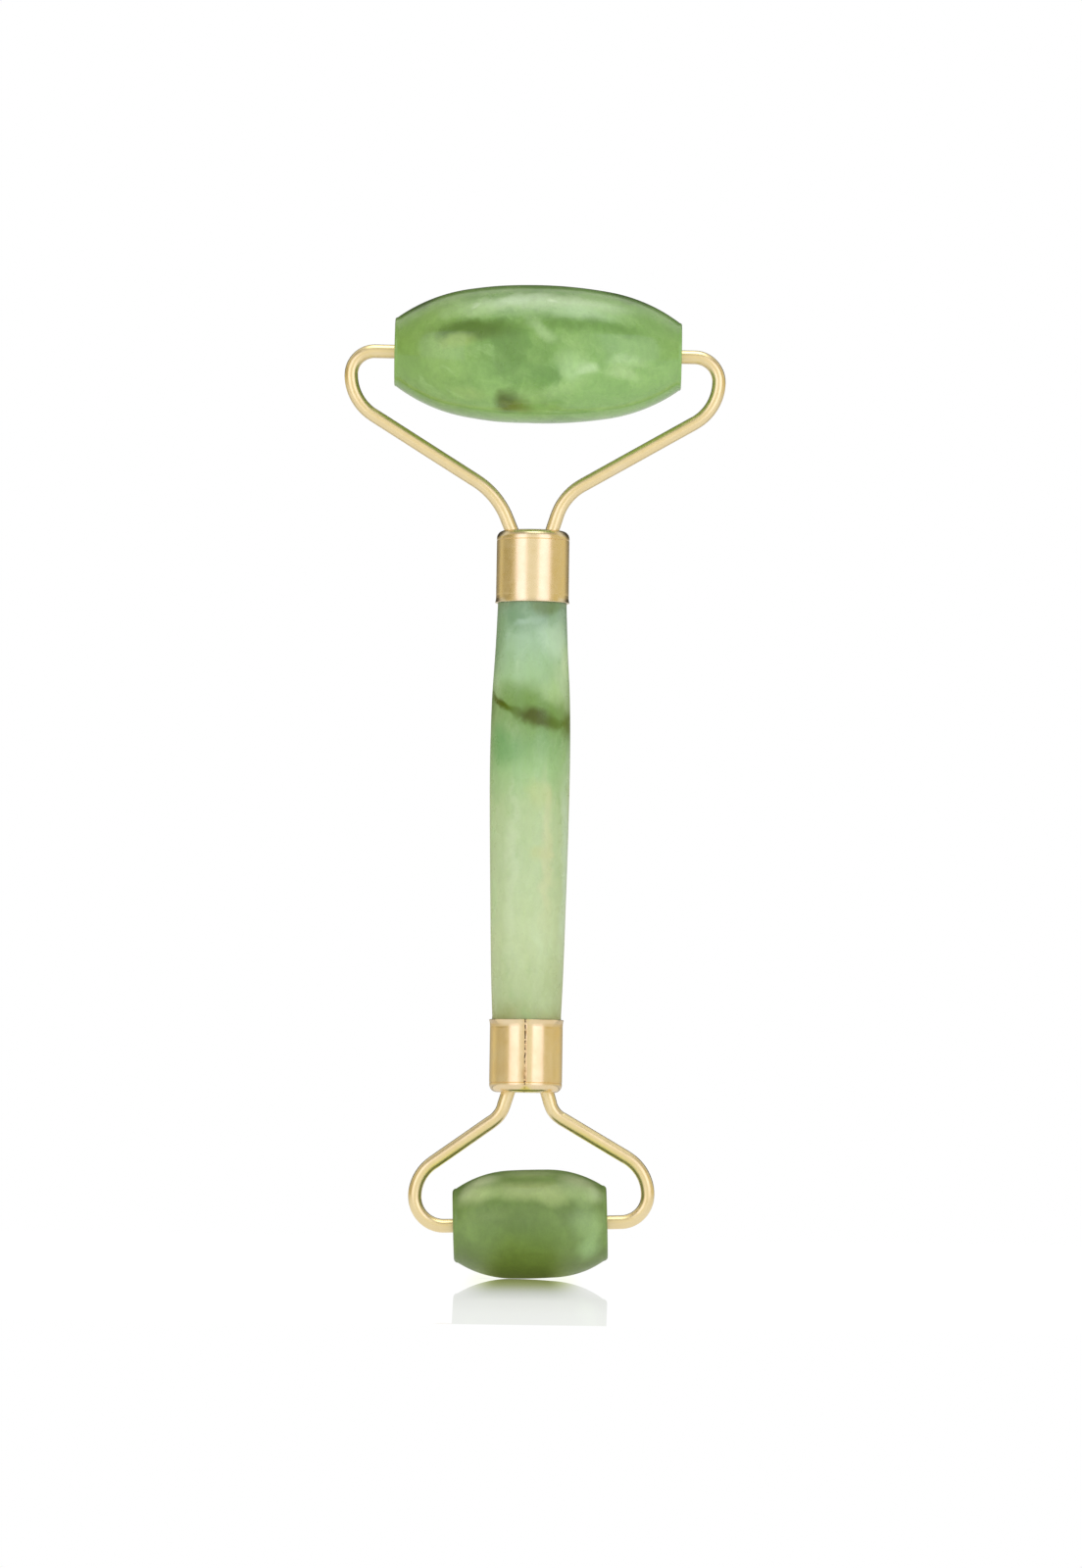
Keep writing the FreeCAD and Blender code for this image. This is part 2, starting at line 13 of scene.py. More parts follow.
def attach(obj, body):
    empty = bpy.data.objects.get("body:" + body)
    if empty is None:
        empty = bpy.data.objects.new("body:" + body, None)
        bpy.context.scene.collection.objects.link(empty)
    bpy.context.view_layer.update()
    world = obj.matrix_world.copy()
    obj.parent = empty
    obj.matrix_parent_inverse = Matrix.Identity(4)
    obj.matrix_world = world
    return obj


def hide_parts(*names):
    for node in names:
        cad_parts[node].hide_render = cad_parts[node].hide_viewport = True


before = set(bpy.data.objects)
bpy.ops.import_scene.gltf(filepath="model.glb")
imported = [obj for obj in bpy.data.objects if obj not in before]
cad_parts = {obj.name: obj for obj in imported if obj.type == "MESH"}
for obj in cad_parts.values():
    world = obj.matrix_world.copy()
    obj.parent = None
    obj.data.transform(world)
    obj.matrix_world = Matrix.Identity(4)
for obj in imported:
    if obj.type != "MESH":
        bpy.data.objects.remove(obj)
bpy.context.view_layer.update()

MM = 0.001

# Measures in millimetres and degrees. Heights are Z, and offsets are along X.
LARGE_HEIGHT, LARGE_OFFSET, LARGE_TILT = 135.05, 0.35, -0.3
LARGE_LENGTH, LARGE_BELLY, LARGE_PRONG, LARGE_BUSH = 41.9, 10.13, 6, 7.5
SMALL_HEIGHT, SMALL_OFFSET, SMALL_TILT = 7.98, 0.95, 2.0
SMALL_LENGTH, SMALL_BELLY, SMALL_PRONG, SMALL_BUSH = 22.4, 7.94, 5, 6.5
BORE, BORE_MOUTH = 2.0, 0.25
BUSH_BORE, BUSH_EDGE, BUSH_RECESS = 1.05, 0.12, 0.3
LOWER_RIM, UPPER_RIM = 37.7, 98.5
TENON, TENON_LENGTH, TENON_EDGE = 4.95, 4.1, 0.3
FERRULE, WALL, FERRULE_LENGTH, CAP, CAP_EDGE = 5.3, 0.3, 10.6, 1.4, 1.1
LIP_FLARE, LIP_LENGTH, BEVEL = 0.12, 0.9, 0.07
WIRE, HIDDEN_BEND = 1.0, 2.1
UPPER_END = UPPER_RIM + FERRULE_LENGTH
LOWER_END = LOWER_RIM - FERRULE_LENGTH


# ---- meshes ----


def finish_mesh(name, bm, material, sharp=38):
    """Turn a bmesh in millimetres into a smooth-shaded object in metres."""
    bmesh.ops.recalc_face_normals(bm, faces=bm.faces)
    mesh = bpy.data.meshes.new(name)
    bm.to_mesh(mesh)
    bm.free()
    mesh.transform(Matrix.Scale(MM, 4))
    mesh.shade_smooth()
    mesh.set_sharp_from_angle(angle=math.radians(sharp))
    mesh.materials.append(material)
    piece = bpy.data.objects.new(name, mesh)
    bpy.context.scene.collection.objects.link(piece)
    return piece


def ring_grid(bm, rows, closed):
    """Quads between rings of points; closed also joins the last ring to the first."""
    rings = [[bm.verts.new(point) for point in row] for row in rows]
    count = len(rings[0])
    for index in range(len(rings) if closed else len(rings) - 1):
        one, two = rings[index], rings[(index + 1) % len(rings)]
        for k in range(count):
            n = (k + 1) % count
            bm.faces.new((one[k], one[n], two[n], two[k]))
    return rings


def cap_ring(bm, ring, middle):
    """Close a ring with a fan of triangles round its middle."""
    hub = bm.verts.new(middle)
    for k, vertex in enumerate(ring):
        bm.faces.new((vertex, ring[(k + 1) % len(ring)], hub))


def lathe(profile, angles, place, shape=None, solid=False):
    """Revolve (radius, height) pairs about local Z, then put them in the frame by a matrix.

    A solid profile has its ends on the axis; any other is a closed loop.
    shape(radius, height, angle) may move a point in or out.
    """
    bm = bmesh.new()
    rows = []
    for radius, height in profile:
        row = []
        for angle in angles:
            r = shape(radius, height, angle) if shape else radius
            row.append(place @ Vector((r * math.cos(angle), r * math.sin(angle), height)))
        rows.append(row)
    rings = ring_grid(bm, rows, closed=not solid)
    if solid:
        for ring, (_, height) in ((rings[0], profile[0]), (rings[-1], profile[-1])):
            cap_ring(bm, ring, place @ Vector((0, 0, height)))
    return bm


def even_angles(count):
    return [2 * math.pi * k / count for k in range(count)]


def arc(centre, radius, first, last, steps):
    """Points on an arc between two angles in degrees, both ends included."""
    points = []
    for k in range(steps + 1):
        angle = math.radians(first + (last - first) * k / steps)
        points.append((centre[0] + radius * math.cos(angle), centre[1] + radius * math.sin(angle)))
    return points


def spread(start, end, steps):
    """Points on a straight line, the first left out."""
    return [
        (
            start[0] + (end[0] - start[0]) * k / steps,
            start[1] + (end[1] - start[1]) * k / steps,
        )
        for k in range(1, steps + 1)
    ]


def along_x(centre, tilt):
    """Frame of a lathe axis that lies along X, raised by a tilt in degrees at its right end."""
    turn = Matrix.Rotation(math.radians(-tilt), 4, "Y")
    to_x = Matrix(((0, 0, 1, 0), (0, -1, 0, 0), (1, 0, 0, 0), (0, 0, 0, 1)))
    return Matrix.Translation(centre) @ turn @ to_x


# ---- shader nodes ----


def ink(red, green, blue):
    """Linear colour of an 8-bit display colour."""
    return tuple(
        value / 12.92 if value <= 0.04045 else ((value + 0.055) / 1.055) ** 2.4
        for value in (red / 255, green / 255, blue / 255)
    )


class Shader:
    """Short names for the nodes of one node tree."""

    def __init__(self, tree):
        self.tree = tree
        tree.nodes.clear()

    def add(self, kind, **settings):
        node = self.tree.nodes.new("ShaderNode" + kind)
        for key, value in settings.items():
            setattr(node, key, value)
        return node

    def feed(self, socket, value):
        if isinstance(value, bpy.types.NodeSocket):
            self.tree.links.new(value, socket)
        elif isinstance(value, tuple) and socket.type == "RGBA":
            socket.default_value = (*value, 1)
        elif value is not None:
            socket.default_value = value

    def point(self):
        return self.add("TexCoord").outputs["Object"]

    def noise(self, at, size, detail=3.0, rough=0.5, twist=0.0, colour=False):
        """Noise with features of about a size in millimetres."""
        node = self.add("TexNoise")
        self.feed(node.inputs["Vector"], at)
        node.inputs["Scale"].default_value = 1 / (size * MM)
        node.inputs["Detail"].default_value = detail
        node.inputs["Roughness"].default_value = rough
        node.inputs["Distortion"].default_value = twist
        return node.outputs["Color" if colour else "Fac"]

    def math(self, operation, one, two=None):
        node = self.add("Math", operation=operation)
        self.feed(node.inputs[0], one)
        self.feed(node.inputs[1], two)
        return node.outputs[0]

    def times(self, first, *others):
        """The product of two or more values."""
        for other in others:
            first = self.math("MULTIPLY", first, other)
        return first

    def vector(self, operation, one, two=None):
        node = self.add("VectorMath", operation=operation)
        self.feed(node.inputs[0], one)
        self.feed(node.inputs[1], two)
        return node.outputs["Value" if operation in ("LENGTH", "DOT_PRODUCT") else "Vector"]

    def split(self, at):
        node = self.add("SeparateXYZ")
        self.feed(node.inputs[0], at)
        return node.outputs

    def warp(self, at, size, reach, detail=2.0):
        """A point pushed about by noise, by up to about a reach in millimetres."""
        push = self.vector("SUBTRACT", self.noise(at, size, detail, colour=True), (0.5, 0.5, 0.5))
        by = (2 * reach * MM,) * 3
        return self.vector("ADD", at, self.vector("MULTIPLY", push, by))

    def span(self, value, low, high, first=0.0, last=1.0, smooth=True):
        """A value mapped from low..high to first..last."""
        node = self.add("MapRange", interpolation_type="SMOOTHSTEP" if smooth else "LINEAR")
        for key, given in (
            ("Value", value),
            ("From Min", low),
            ("From Max", high),
            ("To Min", first),
            ("To Max", last),
        ):
            self.feed(node.inputs[key], given)
        return node.outputs["Result"]

    def mix(self, share, one, two, blend="MIX"):
        node = self.add("Mix", data_type="RGBA", blend_type=blend)
        self.feed(node.inputs[0], share)
        self.feed(node.inputs[6], one)
        self.feed(node.inputs[7], two)
        return node.outputs[2]

    def ramp(self, value, stops):
        node = self.add("ValToRGB")
        self.feed(node.inputs[0], value)
        band = node.color_ramp
        band.elements[0].position, band.elements[0].color = stops[0][0], (*stops[0][1], 1)
        band.elements[1].position, band.elements[1].color = stops[-1][0], (*stops[-1][1], 1)
        for place, colour in stops[1:-1]:
            band.elements.new(place).color = (*colour, 1)
        return node.outputs["Color"]

    def blot(self, at, centre, size, turn=0.0, core=0.0):
        """1 inside an ellipsoid of half sizes in millimetres, fading out to its surface."""
        node = self.add("Mapping", vector_type="TEXTURE")
        self.feed(node.inputs["Vector"], at)
        node.inputs["Location"].default_value = [c * MM for c in centre]
        node.inputs["Rotation"].default_value = (0, math.radians(-turn), 0)
        node.inputs["Scale"].default_value = [s * MM for s in size]
        return self.span(self.vector("LENGTH", node.outputs[0]), 1.0, core)

    def bump(self, height, depth, below=None):
        """A normal from a height in 0..1 that stands for a depth in millimetres."""
        node = self.add("Bump")
        self.feed(node.inputs["Height"], height)
        node.inputs["Distance"].default_value = depth * MM
        self.feed(node.inputs["Normal"], below)
        return node.outputs[0]


def material(name):
    """A new material and the short names for its nodes."""
    made = bpy.data.materials.new(name)
    made.use_nodes = True
    return made, Shader(made.node_tree)


def principled(shader, linked, **fixed):
    """A Principled surface: linked sockets are driven by nodes, fixed ones hold one value."""
    node = shader.add("BsdfPrincipled")
    for key, value in linked.items():
        shader.feed(node.inputs[key], value)
    for key, value in fixed.items():
        shader.feed(node.inputs[key.replace("_", " ")], value)
    out = shader.add("OutputMaterial")
    shader.feed(out.inputs["Surface"], node.outputs[0])


# ---- camera, light and floor ----

CAMERA_HEIGHT = 13.6
CAMERA_AWAY = 1200
CAMERA_AIM = (1.64, 0, 72.13)
CAMERA_ROLL = 0.8
CAMERA_LENS = 189.0
LIT_POINT = Vector((0, 0, 80))
SOFTBOX_COLOUR = (0.95, 0.94, 1.5)
FILL_COLOUR = (0.95, 1.0, 1.05)
FLOOR_FRONT = -396
FLOOR_BACK = 900
FLOOR_SIDE = 2500

scene = bpy.context.scene
scene.view_settings.view_transform = "Standard"

camera_data = bpy.data.cameras.new("camera")
camera_data.lens = CAMERA_LENS
camera_data.sensor_width = 36
camera_data.clip_start = 0.05
camera = bpy.data.objects.new("camera", camera_data)
scene.collection.objects.link(camera)
stand = Vector((CAMERA_AIM[0], -CAMERA_AWAY, CAMERA_HEIGHT))
look = Vector(CAMERA_AIM) - stand
camera.location = stand * MM
camera.rotation_mode = "QUATERNION"
roll = Euler((0, 0, math.radians(CAMERA_ROLL))).to_quaternion()
camera.rotation_quaternion = look.to_track_quat("-Z", "Y") @ roll
scene.camera = camera


def softbox(name, azimuth, elevation, away, size, radiance, colour, glossy):
    """An area lamp of a given radiance, placed by direction from the point that it lights.

    Azimuth 0 is towards the camera and grows to the right; lengths are in millimetres.
    """
    lamp = bpy.data.lights.new(name, "AREA")
    lamp.shape = "RECTANGLE"
    lamp.size, lamp.size_y = size[0] * MM, size[1] * MM
    lamp.energy = radiance * math.pi * lamp.size * lamp.size_y
    lamp.color = colour
    holder = bpy.data.objects.new(name, lamp)
    scene.collection.objects.link(holder)
    a, e = math.radians(azimuth), math.radians(elevation)
    way = Vector((math.sin(a) * math.cos(e), -math.cos(a) * math.cos(e), math.sin(e)))
    holder.location = (LIT_POINT + way * away) * MM
    holder.rotation_mode = "QUATERNION"
    holder.rotation_quaternion = way.to_track_quat("Z", "Y")
    holder.visible_camera = False
    holder.visible_glossy = glossy


# the gold mirrors the two softboxes; the fills only light the object
softbox("softbox_left", -38, 9, 1000, (600, 1000), 0.69, SOFTBOX_COLOUR, True)
softbox("softbox_right", 37.5, 9, 1000, (670, 1000), 0.69, SOFTBOX_COLOUR, True)
softbox("fill_top", 0, 70, 900, (900, 600), 0.3, FILL_COLOUR, False)
softbox("fill_front", 0, 12, 1200, (1500, 1000), 0.95, FILL_COLOUR, False)
softbox("fill_back", 180, 8, 1100, (1600, 1000), 0.5, FILL_COLOUR, False)

# colours of the surround by degrees about the vertical, from the camera's side to behind
AROUND = [
    (0, (0.84, 0.82, 0.70)),
    (18, (0.84, 0.82, 0.70)),
    (62, (0.60, 0.52, 0.27)),
    (100, (0.66, 0.57, 0.27)),
    (125, (0.76, 0.66, 0.36)),
    (150, (0.52, 0.46, 0.32)),
    (180, (0.34, 0.31, 0.24)),
]


def studio_surround():
    """The world: what the gold and the stones mirror, and plain white for the camera."""
    world = bpy.data.worlds.new("studio")
    world.use_nodes = True
    scene.world = world
    sky = Shader(world.node_tree)
    x, y, z = sky.split(sky.add("TexCoord").outputs["Generated"])
    path = sky.add("LightPath")
    aside = sky.math("ABSOLUTE", x)
    forward = sky.times(y, -1.0)
    # turn about the vertical from the camera's side (0) to behind the object (180), in degrees
    about = sky.math("DEGREES", sky.math("ARCTAN2", aside, forward))
    # turn over the top, from the camera's side (0) through straight up (90) to behind (180)
    over = sky.math("DEGREES", sky.math("ARCTAN2", z, forward))
    stops = [(turn / 180, colour) for turn, colour in AROUND]
    level = sky.ramp(sky.span(about, 0, 180, smooth=False), stops)
    level = sky.mix(sky.span(z, 0.35, 0.75), level, (0.42, 0.40, 0.36))
    above = sky.times(sky.span(over, 98, 106), sky.span(z, 0.08, 0.3))
    level = sky.mix(above, level, (0.75, 0.75, 0.7))
    # an overhead light with soft edges, seen only as a sheen along the top of the stones
    off = sky.math("ABSOLUTE", sky.math("SUBTRACT", x, 0.07))
    sheen = sky.times(sky.span(over, 51, 71), sky.span(over, 113, 92), sky.span(off, 0.46, 0.1))
    sheen = sky.times(sheen, path.outputs["Is Glossy Ray"])
    level = sky.mix(sheen, level, (2.8, 2.95, 2.7))
    # the dark far side, which draws the thin dark line along the top of a stone
    behind = sky.times(sky.span(over, 131, 142), sky.span(z, 0.04, 0.1))
    behind = sky.times(behind, sky.span(aside, 0.9, 0.66))
    level = sky.mix(behind, level, (0.03, 0.03, 0.025))
    # the low strip of backdrop that the floor mirrors towards the camera
    strip = sky.times(sky.span(about, 172, 174), sky.span(z, 0.08, 0.06))
    level = sky.mix(strip, level, (1.0, 1.0, 1.0))
    # less light from high up on what the surround lights
    high = sky.times(sky.span(z, 0.3, 0.8), path.outputs["Is Diffuse Ray"])
    level = sky.mix(sky.times(high, 0.3), level, (0.0, 0.0, 0.0))
    # a dimmer panel far to the left
    panel = sky.times(sky.span(x, -0.88, -0.96), sky.span(z, 0.02, 0.06))
    level = sky.mix(sky.times(panel, 0.8), level, (0.25, 0.2, 0.06))
    seen = sky.mix(path.outputs["Is Camera Ray"], level, (1.0, 1.0, 1.0))
    shine = sky.add("Background")
    sky.feed(shine.inputs["Color"], seen)
    out = sky.add("OutputWorld")
    sky.feed(out.inputs["Surface"], shine.outputs[0])


# how much the floor's film mirrors, by millimetres in front of the roller or behind it
FILM = [(0, 0.9), (80, 0.73), (164, 0.47), (230, 0.27), (324, 0.2), (400, 0.18)]


def light_table():
    """A white light table under a clear film.

    The film mirrors most where the roller stands and less away from it, and only at a grazing
    view. What the stone and the metal mirror of the table is dimmer in front of the roller than
    behind, with a dark joint between.
    """
    made, shader = material("white_floor")
    at = shader.point()
    x, y, z = shader.split(at)
    near = shader.math("ABSOLUTE", y)
    side = shader.math("ABSOLUTE", x)
    path = shader.add("LightPath")
    reach = FILM[-1][0]
    stops = [(far / reach, (share,) * 3) for far, share in FILM]
    film = shader.ramp(shader.span(near, 0, reach * MM, smooth=False), stops)
    film = shader.times(film, shader.span(side, 20 * MM, 14 * MM))
    # away from the middle it mirrors no more than an even share
    extra = shader.math("MAXIMUM", shader.math("SUBTRACT", film, 0.28), 0.0)
    extra = shader.times(extra, shader.span(side, 9 * MM, 3.5 * MM))
    film = shader.math("ADD", shader.math("MINIMUM", film, 0.28), extra)
    grazing = shader.span(shader.add("LayerWeight").outputs["Facing"], 0.9, 0.97)
    film = shader.times(film, grazing, path.outputs["Is Camera Ray"])
    joint = shader.math("ABSOLUTE", shader.math("SUBTRACT", y, 77 * MM))
    mirrored = shader.span(y, 70 * MM, 84 * MM, 0.82, 0.6)
    mirrored = shader.times(mirrored, shader.span(joint, 6 * MM, 9 * MM, 0.02, 1.0))
    speckle = shader.noise(at, 0.6, 4)
    glow = shader.mix(speckle, (1.0, 1.0, 1.0), (1.02, 1.02, 1.02))
    shade = shader.mix(path.outputs["Is Glossy Ray"], (1.0, 1.0, 1.0), mirrored)
    glow = shader.mix(1.0, glow, shade, "MULTIPLY")
    # the shade under the small roller
    under = shader.times(shader.span(near, 16 * MM, 1 * MM), shader.span(side, 7 * MM, 3 * MM))
    glow = shader.mix(shader.times(under, 0.7), glow, (0.1, 0.1, 0.1))
    # painted green light, as if it came through the stone; the camera sees it at a grazing view
    # alone
    bleed = shader.times(shader.span(near, 170 * MM, 10 * MM), shader.span(side, 9 * MM, 3 * MM))
    indirect = shader.math("SUBTRACT", 1, path.outputs["Is Camera Ray"])
    bleed = shader.times(bleed, shader.math("MAXIMUM", grazing, indirect))
    glow = shader.mix(bleed, glow, shader.mix(1.0, glow, (0.93, 1.0, 0.4), "MULTIPLY"))
    table = shader.add("Emission")
    shader.feed(table.inputs["Color"], glow)
    mirror = shader.add("BsdfGlossy")
    mirror.inputs["Color"].default_value = (1, 1, 1, 1)
    shader.feed(mirror.inputs["Roughness"], shader.span(speckle, 0, 1, 0.0, 0.014))
    blend = shader.add("MixShader")
    shader.feed(blend.inputs[0], film)
    shader.feed(blend.inputs[1], table.outputs[0])
    shader.feed(blend.inputs[2], mirror.outputs[0])
    out = shader.add("OutputMaterial")
    shader.feed(out.inputs["Surface"], blend.outputs[0])
    return made


studio_surround()
sheet = bmesh.new()
corners = [(-FLOOR_SIDE, FLOOR_FRONT), (FLOOR_SIDE, FLOOR_FRONT)]
corners += [(FLOOR_SIDE, FLOOR_BACK), (-FLOOR_SIDE, FLOOR_BACK)]
sheet.faces.new([sheet.verts.new((x, y, 0)) for x, y in corners])
finish_mesh("floor", sheet, light_table())


# ---- jade ----


def jade(name, ground, blots, polish, lustre, grain=1.0, stir=1.0, silk=0.06):
    """Clouded jade.

    ground(shader, at) gives the colour before the blots. Each blot is a centre, half sizes,
    a turn in the XZ plane, a strength and a colour; some blots are clouds in the stone and some
    are painted sheen, highlight or shade. polish is the range of roughness, and lustre holds the
    rest of the surface's settings. grain is the strength of the fine grains, stir how far the
    clouds and blots are drawn out of shape, and silk the felt's strength.
    """
    made, shader = material(name)
    at = shader.point()
    bent = shader.warp(shader.warp(at, 8, 2.0 * stir), 2.0, 0.7 * stir)
    colour = ground(shader, bent)
    for centre, size, turn, strength, tint in blots:
        share = shader.times(shader.blot(bent, centre, size, turn, 0.25), strength)
        colour = shader.mix(share, colour, tint)
    # silky felt of fibres, drawn out a little, and fine pale and dark grains
    felt = shader.vector("MULTIPLY", shader.warp(at, 3, 0.8), (1.0, 1.0, 0.55))
    felt = shader.noise(felt, 1.0, 5, 0.6)
    lift = shader.span(felt, 0.3, 0.7, 1 - silk, 1 + silk)
    fleck = 0.03 * grain
    fine = shader.span(shader.noise(at, 0.22, 3, 0.6), 0.25, 0.75, 1 - fleck, 1 + fleck)
    lift = shader.times(lift, fine)
    shade = shader.add("CombineXYZ")
    for socket in shade.inputs:
        shader.feed(socket, lift)
    colour = shader.mix(1.0, colour, shade.outputs[0], "MULTIPLY")
    rough = shader.span(shader.noise(at, 2.4, 5, 0.6), 0.3, 0.7, *polish)
    normal = shader.bump(shader.noise(at, 0.12, 2), 0.0012 * grain)
    normal = shader.bump(shader.noise(bent, 1.6, 4, 0.55), 0.012, normal)
    principled(
        shader,
        {"Base Color": colour, "Roughness": rough, "Normal": normal},
        IOR=1.62,
        Subsurface_Weight=0.25,
        Subsurface_Radius=(1.0, 1.25, 0.7),
        Subsurface_Scale=0.0016,
        **lustre,
    )
    return made


def on_barrel(centre_z, radius):
    """A blot's place and size on a roller, from its X and Z on the side that faces the camera."""

    def blot(x, z, wide, high, turn, strength, tint, deep=3.5):
        y = -math.sqrt(max(radius**2 - (z - centre_z) ** 2, 1))
        return ((x, y, z), (wide, deep, high), turn, strength, tint)

    return blot


def large_ground(shader, at):
    x = shader.split(at)[0]
    cloud = shader.noise(at, 8, 6, 0.62)
    colour = shader.mix(shader.span(cloud, 0.36, 0.66), ink(104, 146, 68), ink(134, 173, 93))
    left = shader.span(x, -5 * MM, -15 * MM)
    colour = shader.mix(shader.times(left, 0.5), colour, ink(136, 169, 81))
    right = shader.span(x, 1 * MM, 9 * MM)
    colour = shader.mix(shader.times(right, 0.55), colour, ink(144, 185, 107))
    # wisps lie along a slant
    slant = shader.add("Mapping", vector_type="TEXTURE")
    shader.feed(slant.inputs["Vector"], at)
    slant.inputs["Rotation"].default_value = (0, math.radians(28), 0)
    slant.inputs["Scale"].default_value = (2.6, 1.4, 0.8)
    veil = shader.span(shader.noise(slant.outputs[0], 2.6, 7, 0.68, 0.5), 0.5, 0.74)
    return shader.mix(shader.times(veil, 0.4), colour, ink(164, 199, 127))


DARK_GREEN = ink(84, 126, 48)
WHITE_GREEN = ink(205, 227, 181)
on_large = on_barrel(LARGE_HEIGHT, 10.0)
large_jade = jade(
    "polished_jade",
    large_ground,
    [
        on_large(-10.6, 137.6, 11.5, 2.5, 2, 0.95, ink(84, 116, 36)),
        # painted sheen over a pale cloud: the left end of the pale band along the top
        on_large(-9.5, 140.9, 6.8, 2.1, 5, 0.6, ink(172, 204, 138)),
        on_large(-9.5, 128.6, 5.0, 2.2, -6, 0.4, ink(168, 196, 112)),
        on_large(5.5, 138.6, 9, 2.0, -3, 0.5, DARK_GREEN),
        on_large(13.5, 138.0, 5, 2.0, -8, 0.5, DARK_GREEN),
        on_large(-4.2, 134.0, 3.4, 6.5, 8, 0.6, ink(100, 138, 64)),
        on_large(-11.4, 135.8, 3.6, 1.6, 5, 0.6, ink(152, 179, 91)),
        # the next four blots are the pale band along the top: painted sheen where the overhead
        # light shines, with small pale clouds in it
        on_large(2.0, 141.9, 14, 2.2, -1, 0.75, ink(172, 199, 145), deep=6),
        on_large(1.9, 141.6, 0.8, 0.5, 0, 0.5, WHITE_GREEN),
        on_large(-8.8, 141.7, 1.5, 0.45, 8, 0.4, WHITE_GREEN),
        on_large(-2.0, 142.4, 6.0, 1.4, 3, 0.45, ink(186, 212, 168)),
        on_large(0.8, 137.5, 3.6, 1.2, -38, 0.4, ink(178, 207, 153)),
        on_large(5.6, 132.5, 4.4, 2.6, -16, 0.5, ink(176, 209, 149)),
        on_large(7.8, 132.1, 1.9, 1.3, -10, 0.35, WHITE_GREEN),
        on_large(14.4, 133.6, 5.6, 1.7, 4, 0.6, ink(182, 211, 153)),
        on_large(13.4, 131.6, 4.6, 1.8, -8, 0.65, ink(176, 205, 143)),
        on_large(4.0, 129.6, 5.5, 1.6, 8, 0.35, ink(168, 201, 130)),
        on_large(-3.4, 127.6, 3.0, 3.0, 10, 1.0, ink(72, 94, 2)),
        on_large(-2.3, 127.2, 3.4, 1.2, -8, 0.7, ink(104, 122, 42)),
        # painted sheen over a pale cloud: the lower edge of the pale band on the right
        on_large(6.2, 140.0, 6.0, 1.6, -4, 0.5, ink(166, 200, 144)),
        on_large(0.6, 128.6, 4.0, 2.0, 0, 0.3, ink(160, 190, 126)),
        # the next two blots are painted shade: darker patches on both shoulders along the top,
        # where the dark far side is mirrored
        ((-17, -2, 142.2), (5, 5, 1.6), 24, 0.7, ink(80, 104, 58)),
        ((14, -2, 143.2), (6, 5, 1.4), -20, 0.5, ink(80, 104, 58)),
        ((6, 8, 138), (6, 4, 2), 20, 0.6, WHITE_GREEN),
        ((-8, 7, 131), (5, 5, 3), -15, 0.6, DARK_GREEN),
    ],
    (0.26, 0.36),
    {
        "Specular_IOR_Level": 0.2,
        "Coat_Weight": 0.85,
        "Coat_Roughness": 0.1,
        "Coat_IOR": 1.5,
    },
)


def small_ground(shader, at):
    z = shader.split(at)[2]
    cloud = shader.noise(at, 7, 5, 0.6)
    colour = shader.mix(shader.span(cloud, 0.3, 0.7), ink(96, 123, 52), ink(112, 141, 66))
    # painted shade: darker towards the bottom, where the stone sits close to the table
    low = shader.span(z, 7 * MM, 1 * MM)
    return shader.mix(shader.times(low, 0.8), colour, ink(88, 107, 38))


on_small = on_barrel(SMALL_HEIGHT, 7.8)
small_jade = jade(
    "satin_jade",
    small_ground,
    [
        # the first fifteen blots are painted highlight and sheen: a pale band along the top and
        # paler ends, where the overhead light and the softboxes shine on the satin stone
        on_small(0.8, 12.9, 8.5, 2.2, 0, 0.6, ink(172, 190, 121)),
        on_small(-7.0, 12.4, 4.0, 1.8, 10, 0.7, ink(178, 204, 132)),
        on_small(9.8, 12.8, 2.0, 2.0, 0, 0.5, ink(166, 196, 132)),
        on_small(10.2, 3.8, 3.0, 4.4, 0, 0.6, ink(160, 196, 132)),
        on_small(-6.6, 14.6, 4.4, 2.2, 12, 0.75, ink(192, 206, 156)),
        on_small(8.4, 14.4, 4.4, 2.2, -12, 0.45, ink(200, 212, 166)),
        on_small(-8.8, 13.2, 2.6, 2.4, 20, 0.8, ink(192, 208, 161)),
        on_small(10.6, 13.0, 2.6, 2.4, -20, 0.9, ink(200, 216, 172)),
        on_small(3.9, 11.8, 3.6, 1.7, -6, 0.6, ink(170, 190, 121)),
        on_small(0.9, 15.4, 5.0, 1.2, 0, 0.45, ink(159, 180, 117)),
        on_small(-8.0, 12.4, 4.6, 2.8, 14, 0.8, ink(172, 190, 127)),
        on_small(8.8, 12.6, 4.6, 2.6, -12, 0.65, ink(168, 194, 128)),
        on_small(10.0, 8.5, 3.8, 6.2, 8, 0.75, ink(149, 180, 115)),
        on_small(11.0, 8.6, 2.2, 7.5, 0, 0.6, ink(165, 198, 127)),
        on_small(-8.8, 8.5, 4.0, 6.0, 0, 0.6, ink(134, 163, 86)),
        on_small(-4.5, 9.4, 4.4, 1.3, 18, 0.3, ink(124, 149, 73)),
        on_small(1.8, 6.4, 5.4, 3.6, -20, 0.6, ink(89, 116, 51)),
        ((2, 6, 9), (5, 4, 3), 25, 0.5, ink(134, 159, 88)),
    ],
    (0.4, 0.52),
    {"Coat_Weight": 0.1, "Coat_Roughness": 0.35, "Coat_IOR": 1.5},
    grain=1.6,
    stir=0.45,
)

# colours along the handle, by height
HANDLE_BANDS = [
    (37.5, ink(156, 164, 110)),
    (40.5, ink(176, 192, 143)),
    (50.0, ink(187, 203, 155)),
    (60.0, ink(181, 200, 153)),
    (69.0, ink(176, 197, 146)),
    (74.0, ink(154, 188, 129)),
    (78.0, ink(131, 168, 108)),
    (83.5, ink(140, 168, 110)),
    (88.0, ink(158, 190, 139)),
    (93.0, ink(158, 188, 152)),
    # painted shadow: the last two stops darken just under the upper ferrule's rim
    (97.0, ink(140, 168, 139)),
    (98.5, ink(114, 139, 106)),
]


